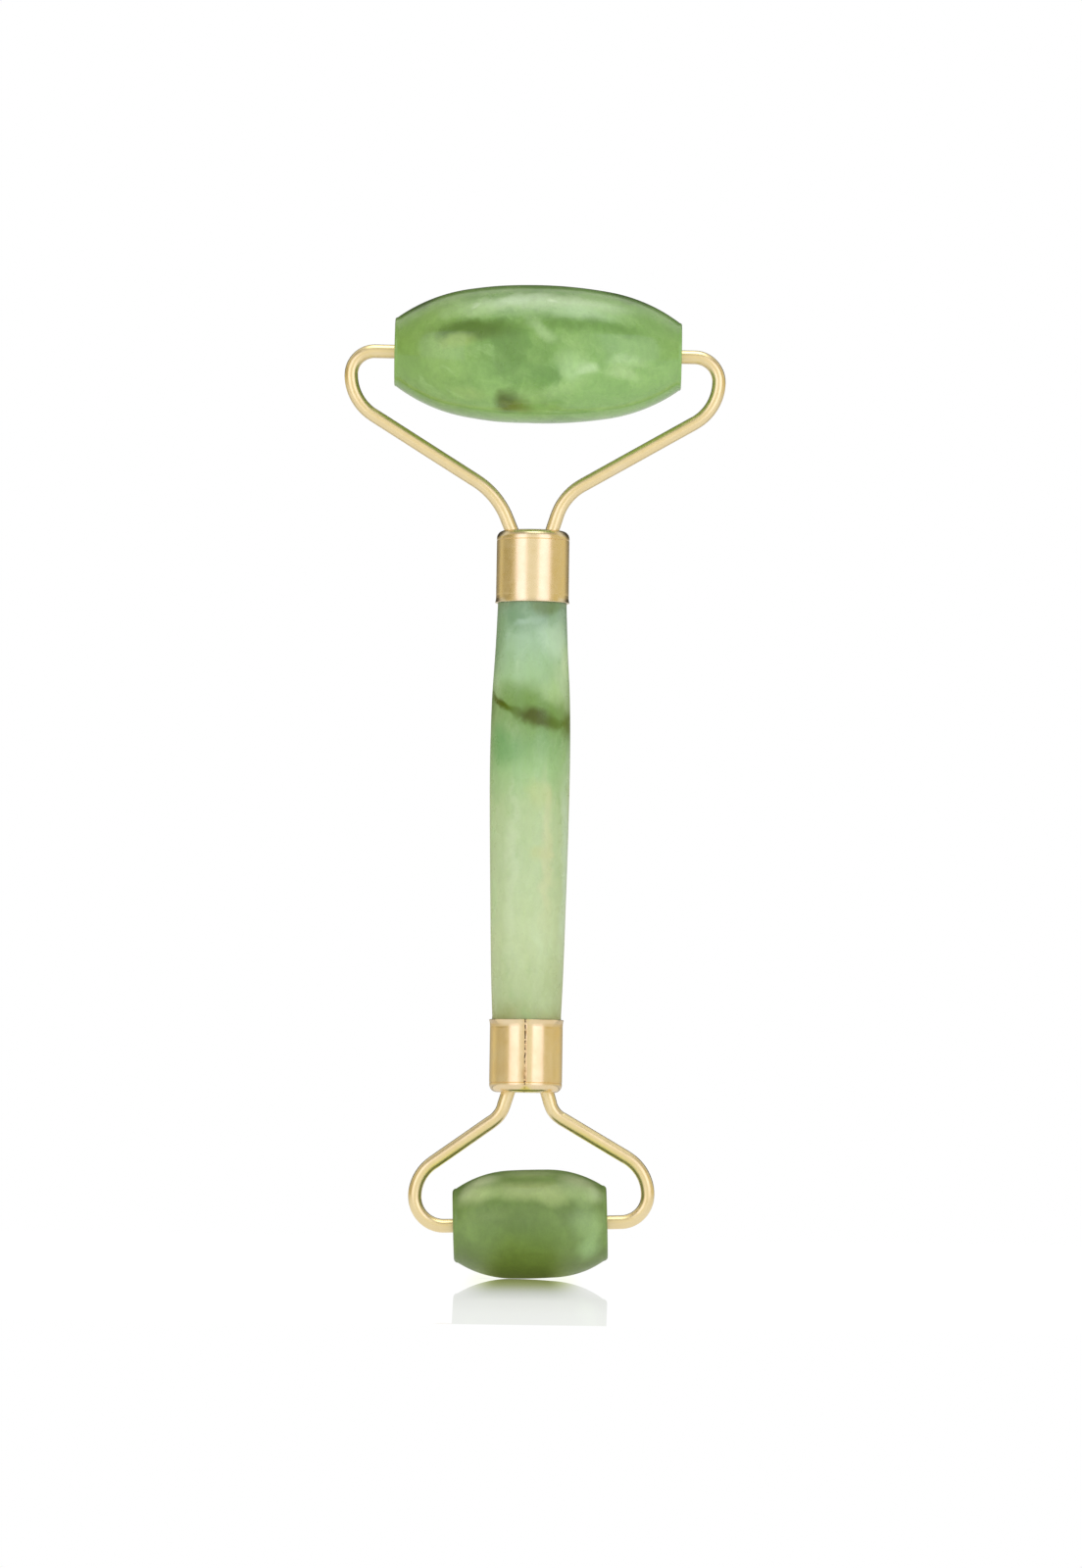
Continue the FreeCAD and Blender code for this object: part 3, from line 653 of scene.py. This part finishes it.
def handle_ground(shader, at):
    low, high = HANDLE_BANDS[0][0], HANDLE_BANDS[-1][0]
    place = shader.span(shader.split(at)[2], low * MM, high * MM, smooth=False)
    stops = [((height - low) / (high - low), colour) for height, colour in HANDLE_BANDS]
    colour = shader.ramp(place, stops)
    # the clouds are drawn out along the rod
    cloud = shader.noise(shader.vector("MULTIPLY", at, (1.3, 1.3, 0.4)), 6, 6, 0.62)
    pale = shader.times(shader.span(cloud, 0.5, 0.75), 0.4)
    colour = shader.mix(pale, colour, ink(200, 220, 178))
    dark = shader.times(shader.span(cloud, 0.5, 0.28), 0.4)
    return shader.mix(dark, colour, ink(132, 172, 110))


def on_rod(x, z, wide, high, turn, strength, tint, deep=3.5):
    """A blot's place and size on the rod, from its X and Z on the side that faces the camera."""
    return ((x, -math.sqrt(max(5.5**2 - x**2, 1)), z), (wide, deep, high), turn, strength, tint)


VEIN = ink(80, 104, 12)
handle_jade = jade(
    "pale_jade",
    handle_ground,
    [
        # the vein that crosses the rod, falling from left to right, with its stained border
        on_rod(0.2, 82.9, 9.5, 4.8, -22, 0.9, ink(112, 146, 70), deep=8),
        on_rod(-4.6, 83.9, 3.4, 0.9, -46, 1.0, ink(76, 90, 12)),
        on_rod(-5.6, 83.0, 1.7, 3.6, 0, 0.7, ink(104, 134, 72)),
        on_rod(-2.6, 82.8, 3.8, 1.3, -20, 0.75, VEIN),
        on_rod(0.7, 81.6, 3.9, 2.1, -28, 0.9, ink(72, 80, 8)),
        on_rod(3.4, 80.9, 3.4, 1.2, -8, 0.6, VEIN),
        on_rod(5.0, 80.5, 2.6, 3.4, 0, 0.85, VEIN),
        ((2, 5, 83), (6, 4, 1.8), 18, 0.9, VEIN),
        on_rod(-4.0, 77.2, 4.4, 4.4, 0, 0.6, ink(108, 160, 96)),
        # painted shadow just under the upper ferrule's rim
        on_rod(2.6, 97.8, 3.4, 1.4, 0, 0.65, ink(100, 122, 66)),
        on_rod(-2.8, 96.2, 4.6, 3.6, 14, 0.8, ink(118, 152, 112)),
        on_rod(3.6, 92.8, 4.2, 4.2, 24, 0.5, ink(194, 220, 186)),
        on_rod(-1.0, 95.4, 3.4, 0.9, 24, 0.5, ink(170, 196, 172)),
        on_rod(-5.1, 93.6, 1.8, 7.5, 0, 0.8, ink(122, 156, 110)),
        on_rod(5.2, 89.4, 1.9, 4.2, 0, 0.7, ink(198, 222, 172)),
        on_rod(3.0, 85.6, 2.8, 2.2, -10, 0.5, ink(178, 208, 144)),
        # the next two blots are painted reflection: paler strips down both edges of the rod,
        # stronger on the right
        on_rod(5.3, 60.0, 1.9, 22.0, 0, 0.6, ink(198, 222, 196)),
        on_rod(-5.5, 60.0, 1.6, 22.0, 0, 0.3, ink(176, 214, 150)),
        on_rod(1.2, 70.5, 2.8, 2.8, 0, 0.4, ink(186, 196, 132)),
        on_rod(1.5, 62.0, 2.2, 1.6, 0, 0.4, ink(192, 198, 134)),
        # the next two blots are painted highlight: long pale streaks where the two softboxes shine
        # on the rod
        on_rod(2.4, 62.0, 1.3, 16.0, 1, 0.5, ink(202, 204, 158)),
        on_rod(-2.6, 58.0, 1.0, 20.0, 1, 0.4, ink(200, 214, 176)),
    ],
    (0.24, 0.36),
    {
        "Specular_IOR_Level": 0.2,
        "Coat_Weight": 0.16,
        "Coat_Roughness": 0.2,
        "Coat_IOR": 1.5,
    },
    grain=0.6,
    silk=0.03,
)


# ---- metal, plastic and glue ----


def gold(name, polish, plate, stained, seam=None, along_wire=False):
    """Thin gold plating over brass, with faint stains and drawing marks.

    seam is (x, low, high): the stained line of a butt joint on the front of a sleeve.
    """
    made, shader = material(name)
    at = shader.point()
    stain = shader.span(shader.noise(at, 3.2, 5, 0.65), 0.42, 0.8)
    colour = shader.mix(shader.times(stain, 0.4), plate, stained)
    pale = shader.span(shader.noise(at, 5.5, 3), 0.5, 0.8)
    colour = shader.mix(shader.times(pale, 0.3), colour, (0.95, 0.82, 0.58))
    fleck = shader.span(shader.noise(at, 0.35, 4, 0.7), 0.66, 0.8)
    colour = shader.mix(shader.times(fleck, 0.1), colour, (0.62, 0.4, 0.2))
    drawn = shader.vector("MULTIPLY", at, (0.3, 1.0, 0.3) if along_wire else (1.0, 1.0, 0.04))
    lines = shader.noise(drawn, 0.18, 4, 0.6)
    rough = shader.span(shader.noise(at, 1.4, 5, 0.6), 0.3, 0.7, *polish)
    normal = shader.bump(lines, 0.0005)
    normal = shader.bump(shader.noise(at, 2.5, 3), 0.006, normal)
    if seam:
        where, low, high = seam
        x, y, z = shader.split(at)
        sway = shader.times(shader.noise(z, 2.4, 3), 0.30 * MM)
        off = shader.math("SUBTRACT", shader.math("SUBTRACT", x, where * MM), sway)
        off = shader.math("ABSOLUTE", off)
        front = shader.span(y, 0.0, -1 * MM)
        burn = shader.times(shader.span(off, 0.7 * MM, 0.05 * MM), front)
        colour = shader.mix(shader.times(burn, 0.3), colour, (0.72, 0.46, 0.2))
        # the joint is open at the rim, closes towards the cap and shows there as dots
        rise = shader.span(z, low * MM, high * MM, smooth=False)
        broken = shader.math("ADD", shader.noise(z, 0.8, 4, 0.7), shader.times(rise, 0.1))
        broken = shader.span(broken, 0.47, 0.6)
        line = shader.times(shader.span(off, 0.13 * MM, 0.05 * MM), broken, front)
        colour = shader.mix(line, colour, (0.06, 0.03, 0.01))
        smudge = shader.blot(at, (where + 0.1, -5.3, low + 1.3), (0.7, 1.0, 1.7))
        colour = shader.mix(shader.times(smudge, 0.6), colour, (0.6, 0.36, 0.14))
        rough = shader.math("MAXIMUM", rough, shader.times(line, 0.7))
    principled(
        shader,
        {"Base Color": colour, "Roughness": rough, "Normal": normal},
        Metallic=1.0,
        Coat_Weight=0.2,
        Coat_Roughness=0.1,
    )
    return made


upper_gold = gold("gold_upper_ferrule", (0.24, 0.31), (0.94, 0.77, 0.49), (0.86, 0.64, 0.34))
lower_gold = gold(
    "gold_lower_ferrule",
    (0.2, 0.27),
    (0.94, 0.75, 0.45),
    (0.84, 0.6, 0.28),
    seam=(-0.3, 28.5, LOWER_RIM),
)
wire_gold = gold(
    "gold_wire",
    (0.28, 0.36),
    (0.95, 0.78, 0.44),
    (0.86, 0.66, 0.33),
    along_wire=True,
)


def mottled(name, tones, size, detail, polish, relief, **fixed):
    """A plain translucent stuff: two tones, a range of roughness and a relief from noise."""
    made, shader = material(name)
    mottle = shader.noise(shader.point(), size, detail)
    linked = {
        "Base Color": shader.mix(mottle, *tones),
        "Roughness": shader.span(mottle, 0.3, 0.7, *polish),
        "Normal": relief(shader, mottle),
    }
    principled(shader, linked, **fixed)
    return made


plastic = mottled(
    "bush_plastic",
    (ink(226, 224, 210), ink(238, 236, 226)),
    0.8,
    4,
    (0.35, 0.5),
    lambda shader, mottle: shader.bump(shader.noise(shader.point(), 0.15, 2), 0.002),
    Subsurface_Weight=0.3,
    Subsurface_Radius=(1.0, 0.9, 0.8),
    Subsurface_Scale=0.0008,
)
glue = mottled(
    "epoxy",
    (ink(206, 190, 140), ink(224, 212, 170)),
    1.2,
    5,
    (0.15, 0.35),
    lambda shader, mottle: shader.bump(mottle, 0.02),
    Transmission_Weight=0.3,
)
for node_name in ("upper_adhesive_plug", "lower_adhesive_plug"):
    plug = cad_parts[node_name]
    plug.data.materials.clear()
    plug.data.materials.append(glue)


# ---- stones ----


# the bore and its mouth are left as drilled
GROUND_FROM = 2.5


def barrel_radius(x, belly, crown, reach, shoulder):
    """Radius of a barrel that has a gentle crown and rounder shoulders."""
    x = abs(x)
    if x <= reach:
        return belly - crown + math.sqrt(crown**2 - x**2)
    turn = math.asin(reach / crown)
    centre_x = reach - shoulder * math.sin(turn)
    centre_r = belly - crown + crown * math.cos(turn) - shoulder * math.cos(turn)
    return centre_r + math.sqrt(shoulder**2 - (x - centre_x) ** 2)


def hand_ground(flats, waviness, seed, belly, swell):
    """Shape of a stone ground by hand: soft flats and waviness inwards, and one full shoulder.

    Each flat is an angle in degrees round the axis and a depth. The swell is how much fuller the
    shoulder is, where along the axis that starts, where it is whole, and what share of it keeps
    to the side opposite the top.
    """
    fuller, start, whole, lopsided = swell

    def shape(radius, height, angle):
        if radius < GROUND_FROM:
            return radius
        spot = Vector((1.3 * math.cos(angle), 1.3 * math.sin(angle), height / 7 + seed))
        inner = 0.5 + 0.5 * noise.noise(spot)
        small = 0.5 + 0.5 * noise.noise(spot * 2.7)
        cut = radius - waviness * (0.7 * inner + 0.3 * small)
        for turn, depth in flats:
            off = math.cos(angle - math.radians(turn))
            if off > 0.5:
                limit = (belly - depth) / off
                # soft minimum, so that a flat has no knife edge
                gap = cut - limit
                cut -= 0.5 * (gap + math.sqrt(gap * gap + 0.0004)) if gap > -0.2 else 0
        share = min(1, max(0, (height - start) / (whole - start)))
        low = max(0, -math.cos(angle)) ** 2
        return cut + fuller * share * (1 - lopsided + lopsided * low)

    return shape


def roller_stone(name, node, body, made, size, place, shape, steps):
    """A bored barrel with worn edges, as one closed solid.

    size is its length, belly radius, crown radius and half reach, shoulder radius and worn edge.
    """
    length, belly, crown, reach, shoulder, edge = size
    half = length / 2
    rim_x = half - edge
    outer = []
    for k in range(steps + 1):
        x = -rim_x + 2 * rim_x * k / steps
        outer.append((barrel_radius(x, belly, crown, reach, shoulder), x))
    rim = outer[-1][0]
    # the worn edge, the end face and the bore's mouth, on the right-hand side
    end = arc((rim - edge, rim_x), edge, 22, 90, 6)
    end = [(r, h) for r, h in end if r < rim and h <= half]
    end += spread(end[-1], (BORE + BORE_MOUTH, half), 8)
    end += spread((BORE + BORE_MOUTH, half), (BORE, half - BORE_MOUTH), 3)
    other = [(r, -h) for r, h in reversed(end)]
    wall = spread((BORE, half - BORE_MOUTH), (BORE, -half + BORE_MOUTH), 12)[:-1]
    profile = outer + end + wall + other
    piece = finish_mesh(name, lathe(profile, even_angles(240), place, shape), made, 30)
    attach(piece, body)
    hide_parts(node)


large_place = along_x((LARGE_OFFSET, 0, LARGE_HEIGHT), LARGE_TILT)
small_place = along_x((SMALL_OFFSET, 0, SMALL_HEIGHT), SMALL_TILT)
large_flats = [(62, 0.02), (118, 0.02), (-140, 0.02), (20, 0.01), (-75, 0.02)]
small_flats = [(38, 0.14), (78, 0.1), (130, 0.12), (5, 0.1), (-100, 0.05), (-140, 0.05)]

roller_stone(
    "large_roller",
    "large_roller_stone",
    "large_roller",
    large_jade,
    (LARGE_LENGTH, LARGE_BELLY, 63, 10.5, 24, 0.3),
    large_place,
    hand_ground(large_flats, 0.02, 3.7, LARGE_BELLY, (0.15, -1.5, -6, 0.6)),
    170,
)
roller_stone(
    "small_roller",
    "small_roller_stone",
    "small_roller",
    small_jade,
    (SMALL_LENGTH, SMALL_BELLY, 72, 3, 15, 0.6),
    small_place,
    hand_ground(small_flats, 0.04, 9.2, SMALL_BELLY, (0.17, 3, 8, 1.0)),
    120,
)


def bush(name, body, place, node, end, length):
    """A plastic sleeve in a bore, from its outer end inwards along the axis."""
    outer, inner, edge = BORE, BUSH_BORE, BUSH_EDGE
    sign = 1 if end > 0 else -1
    first, last = end, end - sign * length
    loop = [(inner, first - sign * edge), (inner + edge, first)]
    loop += [(outer - edge, first), (outer, first - sign * edge)]
    loop += spread((outer, first - sign * edge), (outer, last + sign * edge), 6)
    loop += [(outer - edge, last), (inner + edge, last), (inner, last + sign * edge)]
    loop += spread((inner, last + sign * edge), (inner, first - sign * edge), 6)[:-1]
    piece = finish_mesh(name, lathe(loop, even_angles(64), place), plastic, 30)
    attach(piece, body)
    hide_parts(node)


for roller, place, stone_length, length in (
    ("large_roller", large_place, LARGE_LENGTH, LARGE_BUSH),
    ("small_roller", small_place, SMALL_LENGTH, SMALL_BUSH),
):
    for side, sign in (("left", -1), ("right", 1)):
        name, node = f"{roller}_{side}_sleeve", f"{roller}_{side}_bush"
        bush(name, roller, place, node, sign * (stone_length / 2 - BUSH_RECESS), length)


# ---- handle ----

# the handle's radius by height
HANDLE_RADII = [
    (LOWER_RIM, 5.03),
    (44.0, 5.28),
    (54.0, 5.52),
    (64.0, 5.74),
    (75.0, 5.87),
    (84.0, 5.73),
    (92.0, 5.3),
    (UPPER_RIM, 5.03),
]


def smooth_through(knots, steps):
    """A Catmull-Rom curve of (height, radius) through knots, as (radius, height)."""
    points = []
    for i in range(len(knots) - 1):
        p0, p1 = knots[max(i - 1, 0)], knots[i]
        p2, p3 = knots[i + 1], knots[min(i + 2, len(knots) - 1)]
        for k in range(steps):
            t = k / steps
            height = p1[0] + (p2[0] - p1[0]) * t
            m1 = (p2[1] - p0[1]) / (p2[0] - p0[0]) * (p2[0] - p1[0])
            m2 = (p3[1] - p1[1]) / (p3[0] - p1[0]) * (p2[0] - p1[0])
            radius = (
                (2 * t**3 - 3 * t**2 + 1) * p1[1]
                + (t**3 - 2 * t**2 + t) * m1
                + (-2 * t**3 + 3 * t**2) * p2[1]
                + (t**3 - t**2) * m2
            )
            points.append((radius, height))
    points.append((knots[-1][1], knots[-1][0]))
    return points


def rod_shape(radius, height, angle):
    """A little hand-ground waviness on the part that shows."""
    if height < LOWER_RIM + 0.4 or height > UPPER_RIM - 0.4:
        return radius
    spot = Vector((1.1 * math.cos(angle), 1.1 * math.sin(angle), height / 16))
    broad = 0.5 + 0.5 * noise.noise(spot)
    small = 0.5 + 0.5 * noise.noise(spot * 3.1)
    return radius - 0.045 * broad - 0.012 * small


def tenon(rim, sign):
    """The ground end under a ferrule, from the rim out to a ring near the axis."""
    end = rim + sign * TENON_LENGTH
    shank = [(TENON, rim + sign * 0.02), (TENON, end - sign * TENON_EDGE)]
    return shank + [(TENON - TENON_EDGE, end), (1.5, end)]


rod = tenon(LOWER_RIM, -1)[::-1] + smooth_through(HANDLE_RADII, 30) + tenon(UPPER_RIM, 1)
handle = finish_mesh(
    "handle_rod", lathe(rod, even_angles(192), Matrix(), rod_shape, solid=True), handle_jade
)
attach(handle, "handle")
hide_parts("handle_stone")


# ---- ferrules ----

FRONT, BACK = -math.pi / 2, math.pi / 2


def seam_angles(count, middle):
    """Even angles, closer together by the seam."""
    steps = (0.03, 0.06, 0.1, 0.15, 0.22, 0.32, 0.48, 0.7)
    fine = [middle] + [middle + s * d / FERRULE for d in steps for s in (-1, 1)]
    clear = 0.85 / FERRULE
    wide = [
        a
        for a in even_angles(count)
        if abs((a - middle + math.pi) % (2 * math.pi) - math.pi) > clear
    ]
    return sorted((a % (2 * math.pi)) for a in fine + wide)


def sleeve(name, node, rim, sign, seam, made, seed):
    """Rolled sheet sleeve from its rim to the cap: flared lip, worn rim, butt seam.

    sign is the way from the rim to the closed end; seam is the joint's angle.
    """
    joint = FERRULE_LENGTH - CAP
    outer = []
    for k in range(9):
        t = k / 8
        outer.append((FERRULE + LIP_FLARE * (1 - t) ** 2, 0.08 + (LIP_LENGTH - 0.08) * t))
    # a burnished line where the lip was turned over
    outer += [(FERRULE - 0.012, LIP_LENGTH + 0.12), (FERRULE, LIP_LENGTH + 0.3)]
    outer += spread((FERRULE, LIP_LENGTH + 0.3), (FERRULE, joint - BEVEL), 40)
    outer.append((FERRULE - BEVEL, joint))
    inner = spread((FERRULE - BEVEL, joint), (FERRULE - WALL, joint), 2)
    inner += spread((FERRULE - WALL, joint), (FERRULE - WALL, LIP_LENGTH), 10)
    inner += [
        (FERRULE - WALL + 0.03, 0.2),
        (FERRULE - WALL + 0.1, 0.02),
        (FERRULE + LIP_FLARE - 0.1, 0.0),
        (FERRULE + LIP_FLARE - 0.03, 0.02),
    ]
    profile = [(r, rim + sign * h) for r, h in outer + inner]

    def shape(radius, height, angle):
        if radius < FERRULE - WALL + 0.06:
            return radius
        far = abs(height - rim)
        spot = Vector((1.2 * math.cos(angle), 1.2 * math.sin(angle), height / 9 + seed))
        out = radius + 0.016 * noise.noise(spot) + 0.008 * math.cos(2 * angle + seed)
        # the lip was turned by hand and isn't quite even
        uneven = noise.noise(Vector((2 * math.cos(angle), 2 * math.sin(angle), seed)))
        out += 0.03 * uneven * max(0, 1 - far / LIP_LENGTH)
        off = ((angle - seam + math.pi) % (2 * math.pi) - math.pi) * FERRULE
        sway = 0.12 * noise.noise(Vector((0.3, seed, height / 2.4)))
        groove = math.exp(-(((off - sway) / 0.075) ** 2))
        open_here = 0.65 + 0.5 * noise.noise(Vector((seed, 0.7, height / 0.8)))
        sink = math.exp(-((off / 0.55) ** 2))
        out -= 0.11 * groove * min(1, max(0.15, open_here)) + 0.02 * sink
        return out

    bm = lathe(profile, seam_angles(176, seam), Matrix(), shape)
    piece = finish_mesh(name, bm, made, 35)
    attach(piece, "handle")
    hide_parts(node)


# the ring round the cap's middle, and the drill for the wire's holes
HUB = 0.4
DRILL, DRILL_REACH = 1.03, 1.2


def end_cap(name, node, rim, sign, legs, made):
    """Pressed cap with a rounded edge and two holes that the wire's legs pass through.

    Each leg is its place and slope across the closed end.
    """
    joint, end = FERRULE_LENGTH - CAP, FERRULE_LENGTH
    outer = [(FERRULE - BEVEL, joint), (FERRULE, joint + BEVEL)]
    outer += spread((FERRULE, joint + BEVEL), (FERRULE, end - CAP_EDGE), 2)
    outer += arc((FERRULE - CAP_EDGE, end - CAP_EDGE), CAP_EDGE, 0, 90, 14)[1:]
    outer += spread((FERRULE - CAP_EDGE, end), (HUB, end), 6)
    inside = [(HUB, end - WALL)]
    inside += spread((HUB, end - WALL), (FERRULE - CAP_EDGE, end - WALL), 4)
    inside += arc((FERRULE - CAP_EDGE, end - CAP_EDGE), CAP_EDGE - WALL, 90, 0, 8)[1:]
    inside += [(FERRULE - WALL, joint)]
    angles = even_angles(128)
    bm = bmesh.new()
    rows = [
        [Vector((r * math.cos(a), r * math.sin(a), rim + sign * h)) for a in angles]
        for r, h in outer + inside
    ]
    rings = ring_grid(bm, rows, closed=False)
    for k in range(len(angles)):
        n = (k + 1) % len(angles)
        bm.faces.new((rings[-1][k], rings[-1][n], rings[0][n], rings[0][k]))
    # the plate's middle, above and below, in place of the band between its two rings
    top = len(outer) - 1
    both = set(rings[top]) | set(rings[top + 1])
    band = [face for face in bm.faces if all(v in both for v in face.verts)]
    bmesh.ops.delete(bm, geom=band, context="FACES_ONLY")
    cap_ring(bm, rings[top], (0, 0, rim + sign * end))
    cap_ring(bm, rings[top + 1], (0, 0, rim + sign * (end - WALL)))
    piece = finish_mesh(name, bm, made, 30)
    circle = [Vector((DRILL * math.cos(a), DRILL * math.sin(a), 0)) for a in even_angles(48)]
    for x, slope in legs:
        drill = bmesh.new()
        way = Vector((math.sin(math.radians(slope)), 0, sign * math.cos(math.radians(slope))))
        middle = Vector((x, 0, rim + sign * end))
        turn = way.to_track_quat("Z", "Y")
        tips = [middle - way * DRILL_REACH, middle + way * DRILL_REACH]
        ends = ring_grid(drill, [[tip + turn @ spoke for spoke in circle] for tip in tips], False)
        for ring, tip in zip(ends, tips):
            cap_ring(drill, ring, tip)
        cutter = finish_mesh("drill", drill, made)
        hole = piece.modifiers.new("hole", "BOOLEAN")
        hole.operation, hole.solver, hole.object = "DIFFERENCE", "EXACT", cutter
        solved = piece.evaluated_get(bpy.context.evaluated_depsgraph_get())
        cut = bpy.data.meshes.new_from_object(solved)
        piece.modifiers.clear()
        piece.data = cut
        bpy.data.objects.remove(cutter)
    piece.data.set_sharp_from_angle(angle=math.radians(30))
    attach(piece, "handle")
    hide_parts(node)


sleeve("upper_sleeve", "upper_ferrule_sleeve", UPPER_RIM, 1, BACK, upper_gold, 1.4)
sleeve("lower_sleeve", "lower_ferrule_sleeve", LOWER_RIM, -1, FRONT, lower_gold, 6.3)


# ---- yokes ----


def half_yoke(foot, splay, neck, slope, loop, elbow, reach, up, offset, lean, tip):
    """Centreline of a yoke's right-hand half, from the closed end out to the prong's tip.

    Angles are in degrees and lengths in millimetres; heights grow from the closed end.
    """
    tangent = math.tan(math.radians(lean))
    elbow_foot = reach - elbow - elbow * math.sin(math.radians(lean))
    turn_up = up + (elbow_foot - offset) * tangent - elbow * math.cos(math.radians(lean))
    arm_end = arc((reach - loop, turn_up), loop, slope - 90, slope - 90, 1)[0]
    arm_way = Vector((math.cos(math.radians(slope)), math.sin(math.radians(slope))))
    leg_way = Vector((math.sin(math.radians(splay)), math.cos(math.radians(splay))))
    across = arm_way.x * leg_way.y - arm_way.y * leg_way.x
    far = (arm_way.x * arm_end[1] - arm_way.y * (arm_end[0] - foot)) / across
    corner = Vector((foot, 0)) + leg_way * far
    trim = neck * math.tan(math.radians(90 - splay - slope) / 2)
    leg_end = corner - leg_way * trim
    arm_start = corner + arm_way * trim
    neck_centre = (
        leg_end.x + neck * math.cos(math.radians(splay)),
        leg_end.y - neck * math.sin(math.radians(splay)),
    )
    points = [(foot, 0)] + spread((foot, 0), leg_end, 12)
    points += arc(neck_centre, neck, 180 - splay, 90 + slope, 22)[1:]
    points += spread(arm_start, arm_end, 44)
    points += arc((reach - loop, turn_up), loop, slope - 90, 0, 34)[1:]
    points += arc((reach - elbow, turn_up), elbow, 0, 90 + lean, 26)[1:]
    points += spread(points[-1], (tip, up + (tip - offset) * tangent), 30)
    return points


def yoke(name, node, left, right, up, offset, tilt, half_length, prong, base, sign, seed):
    """One bent wire, swept from the left prong's tip through the hidden bend to the right's."""
    tips = (half_length - prong - offset, half_length - prong + offset)
    halves = []
    for side, values, tip in ((-1, left, tips[0]), (1, right, tips[1])):
        line = half_yoke(*values, up, side * offset, side * tilt, tip)
        halves.append([(side * x, h) for x, h in line])
    (left_foot, left_splay), (right_foot, right_splay) = left[:2], right[:2]
    ls, rs = math.radians(left_splay), math.radians(right_splay)
    right_side = HIDDEN_BEND - right_foot * math.cos(rs)
    left_side = HIDDEN_BEND - left_foot * math.cos(ls)
    cross = math.sin(rs + ls)
    centre = (
        (left_side * math.sin(rs) - right_side * math.sin(ls)) / cross,
        (left_side * math.cos(rs) + right_side * math.cos(ls)) / cross,
    )
    bend = arc(centre, HIDDEN_BEND, left_splay - 180, -right_splay, 40)
    middle = spread(halves[0][0], bend[0], 10)[:-1] + bend
    middle += spread(bend[-1], halves[1][0], 10)[:-1]
    line = list(reversed(halves[0])) + middle + halves[1]

    count = len(line)
    sides = 44
    rows = []
    for i, (x, h) in enumerate(line):
        before, after = line[max(i - 1, 0)], line[min(i + 1, count - 1)]
        way = Vector((after[0] - before[0], 0, sign * (after[1] - before[1]))).normalized()
        out = Vector((0, 1, 0))
        side_way = way.cross(out)
        away = min(i, count - 1 - i)
        # the prongs run true; the arms and loops show a little hand bending
        free = min(1, max(0, (away - 34) / 12)) * min(1, max(0, (h + 0.5) / 2))
        nudge = 0.09 * free * noise.noise(Vector((x / 9, seed, h / 9)))
        # a bend flattens the wire slightly across its inside
        turn = 0
        if 0 < i < count - 1:
            one = Vector((x - before[0], h - before[1]))
            two = Vector((after[0] - x, after[1] - h))
            turn = min(1, abs(one.angle(two)) / max(0.05, two.length) * 4)
        flat = 1 - 0.03 * turn * free
        # the tips are chamfered
        radius = WIRE * (0.75, 0.9, 1.0)[min(away, 2)]
        row = []
        for k in range(sides):
            a = 2 * math.pi * k / sides
            rough = 1 - 0.006 * free * (0.5 + 0.5 * noise.noise(Vector((x * 1.1, h * 1.1, a))))
            point = (
                Vector((x, nudge, base + sign * h))
                + side_way * (radius * rough * flat * math.cos(a))
                + out * (radius * rough * math.sin(a))
            )
            row.append(point)
        rows.append(row)
    bm = bmesh.new()
    rings = ring_grid(bm, rows, closed=False)
    for ring in (rings[0], rings[-1]):
        hub = sum((v.co for v in ring), Vector()) / sides
        cap_ring(bm, ring, hub)
    piece = finish_mesh(name, bm, wire_gold, 50)
    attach(piece, "handle")
    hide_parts(node)


# foot, splay, neck radius, arm slope, loop radius, elbow radius and reach of each half
LARGE_LEFT = (3.13, 22.5, 11.5, 31.9, 7, 3.4, 26.95)
LARGE_RIGHT = (2.72, 17.5, 8, 29.9, 7, 3.6, 26.85)
SMALL_LEFT = (2.53, 17.3, 4.2, 35.6, 6, 4.25, 15.9)
SMALL_RIGHT = (3.17, 16.5, 3.5, 30.1, 6.3, 3.95, 18)

yoke(
    "large_wire",
    "large_yoke_wire",
    LARGE_LEFT,
    LARGE_RIGHT,
    LARGE_HEIGHT - UPPER_END,
    LARGE_OFFSET,
    LARGE_TILT,
    LARGE_LENGTH / 2,
    LARGE_PRONG,
    UPPER_END,
    1,
    2.2,
)
yoke(
    "small_wire",
    "small_yoke_wire",
    SMALL_LEFT,
    SMALL_RIGHT,
    LOWER_END - SMALL_HEIGHT,
    SMALL_OFFSET,
    -SMALL_TILT,
    SMALL_LENGTH / 2,
    SMALL_PRONG,
    LOWER_END,
    -1,
    5.1,
)
large_legs = [(-LARGE_LEFT[0], -LARGE_LEFT[1]), (LARGE_RIGHT[0], LARGE_RIGHT[1])]
small_legs = [(-SMALL_LEFT[0], -SMALL_LEFT[1]), (SMALL_RIGHT[0], SMALL_RIGHT[1])]
end_cap("upper_cap", "upper_ferrule_end_cap", UPPER_RIM, 1, large_legs, upper_gold)
end_cap("lower_cap", "lower_ferrule_end_cap", LOWER_RIM, -1, small_legs, lower_gold)
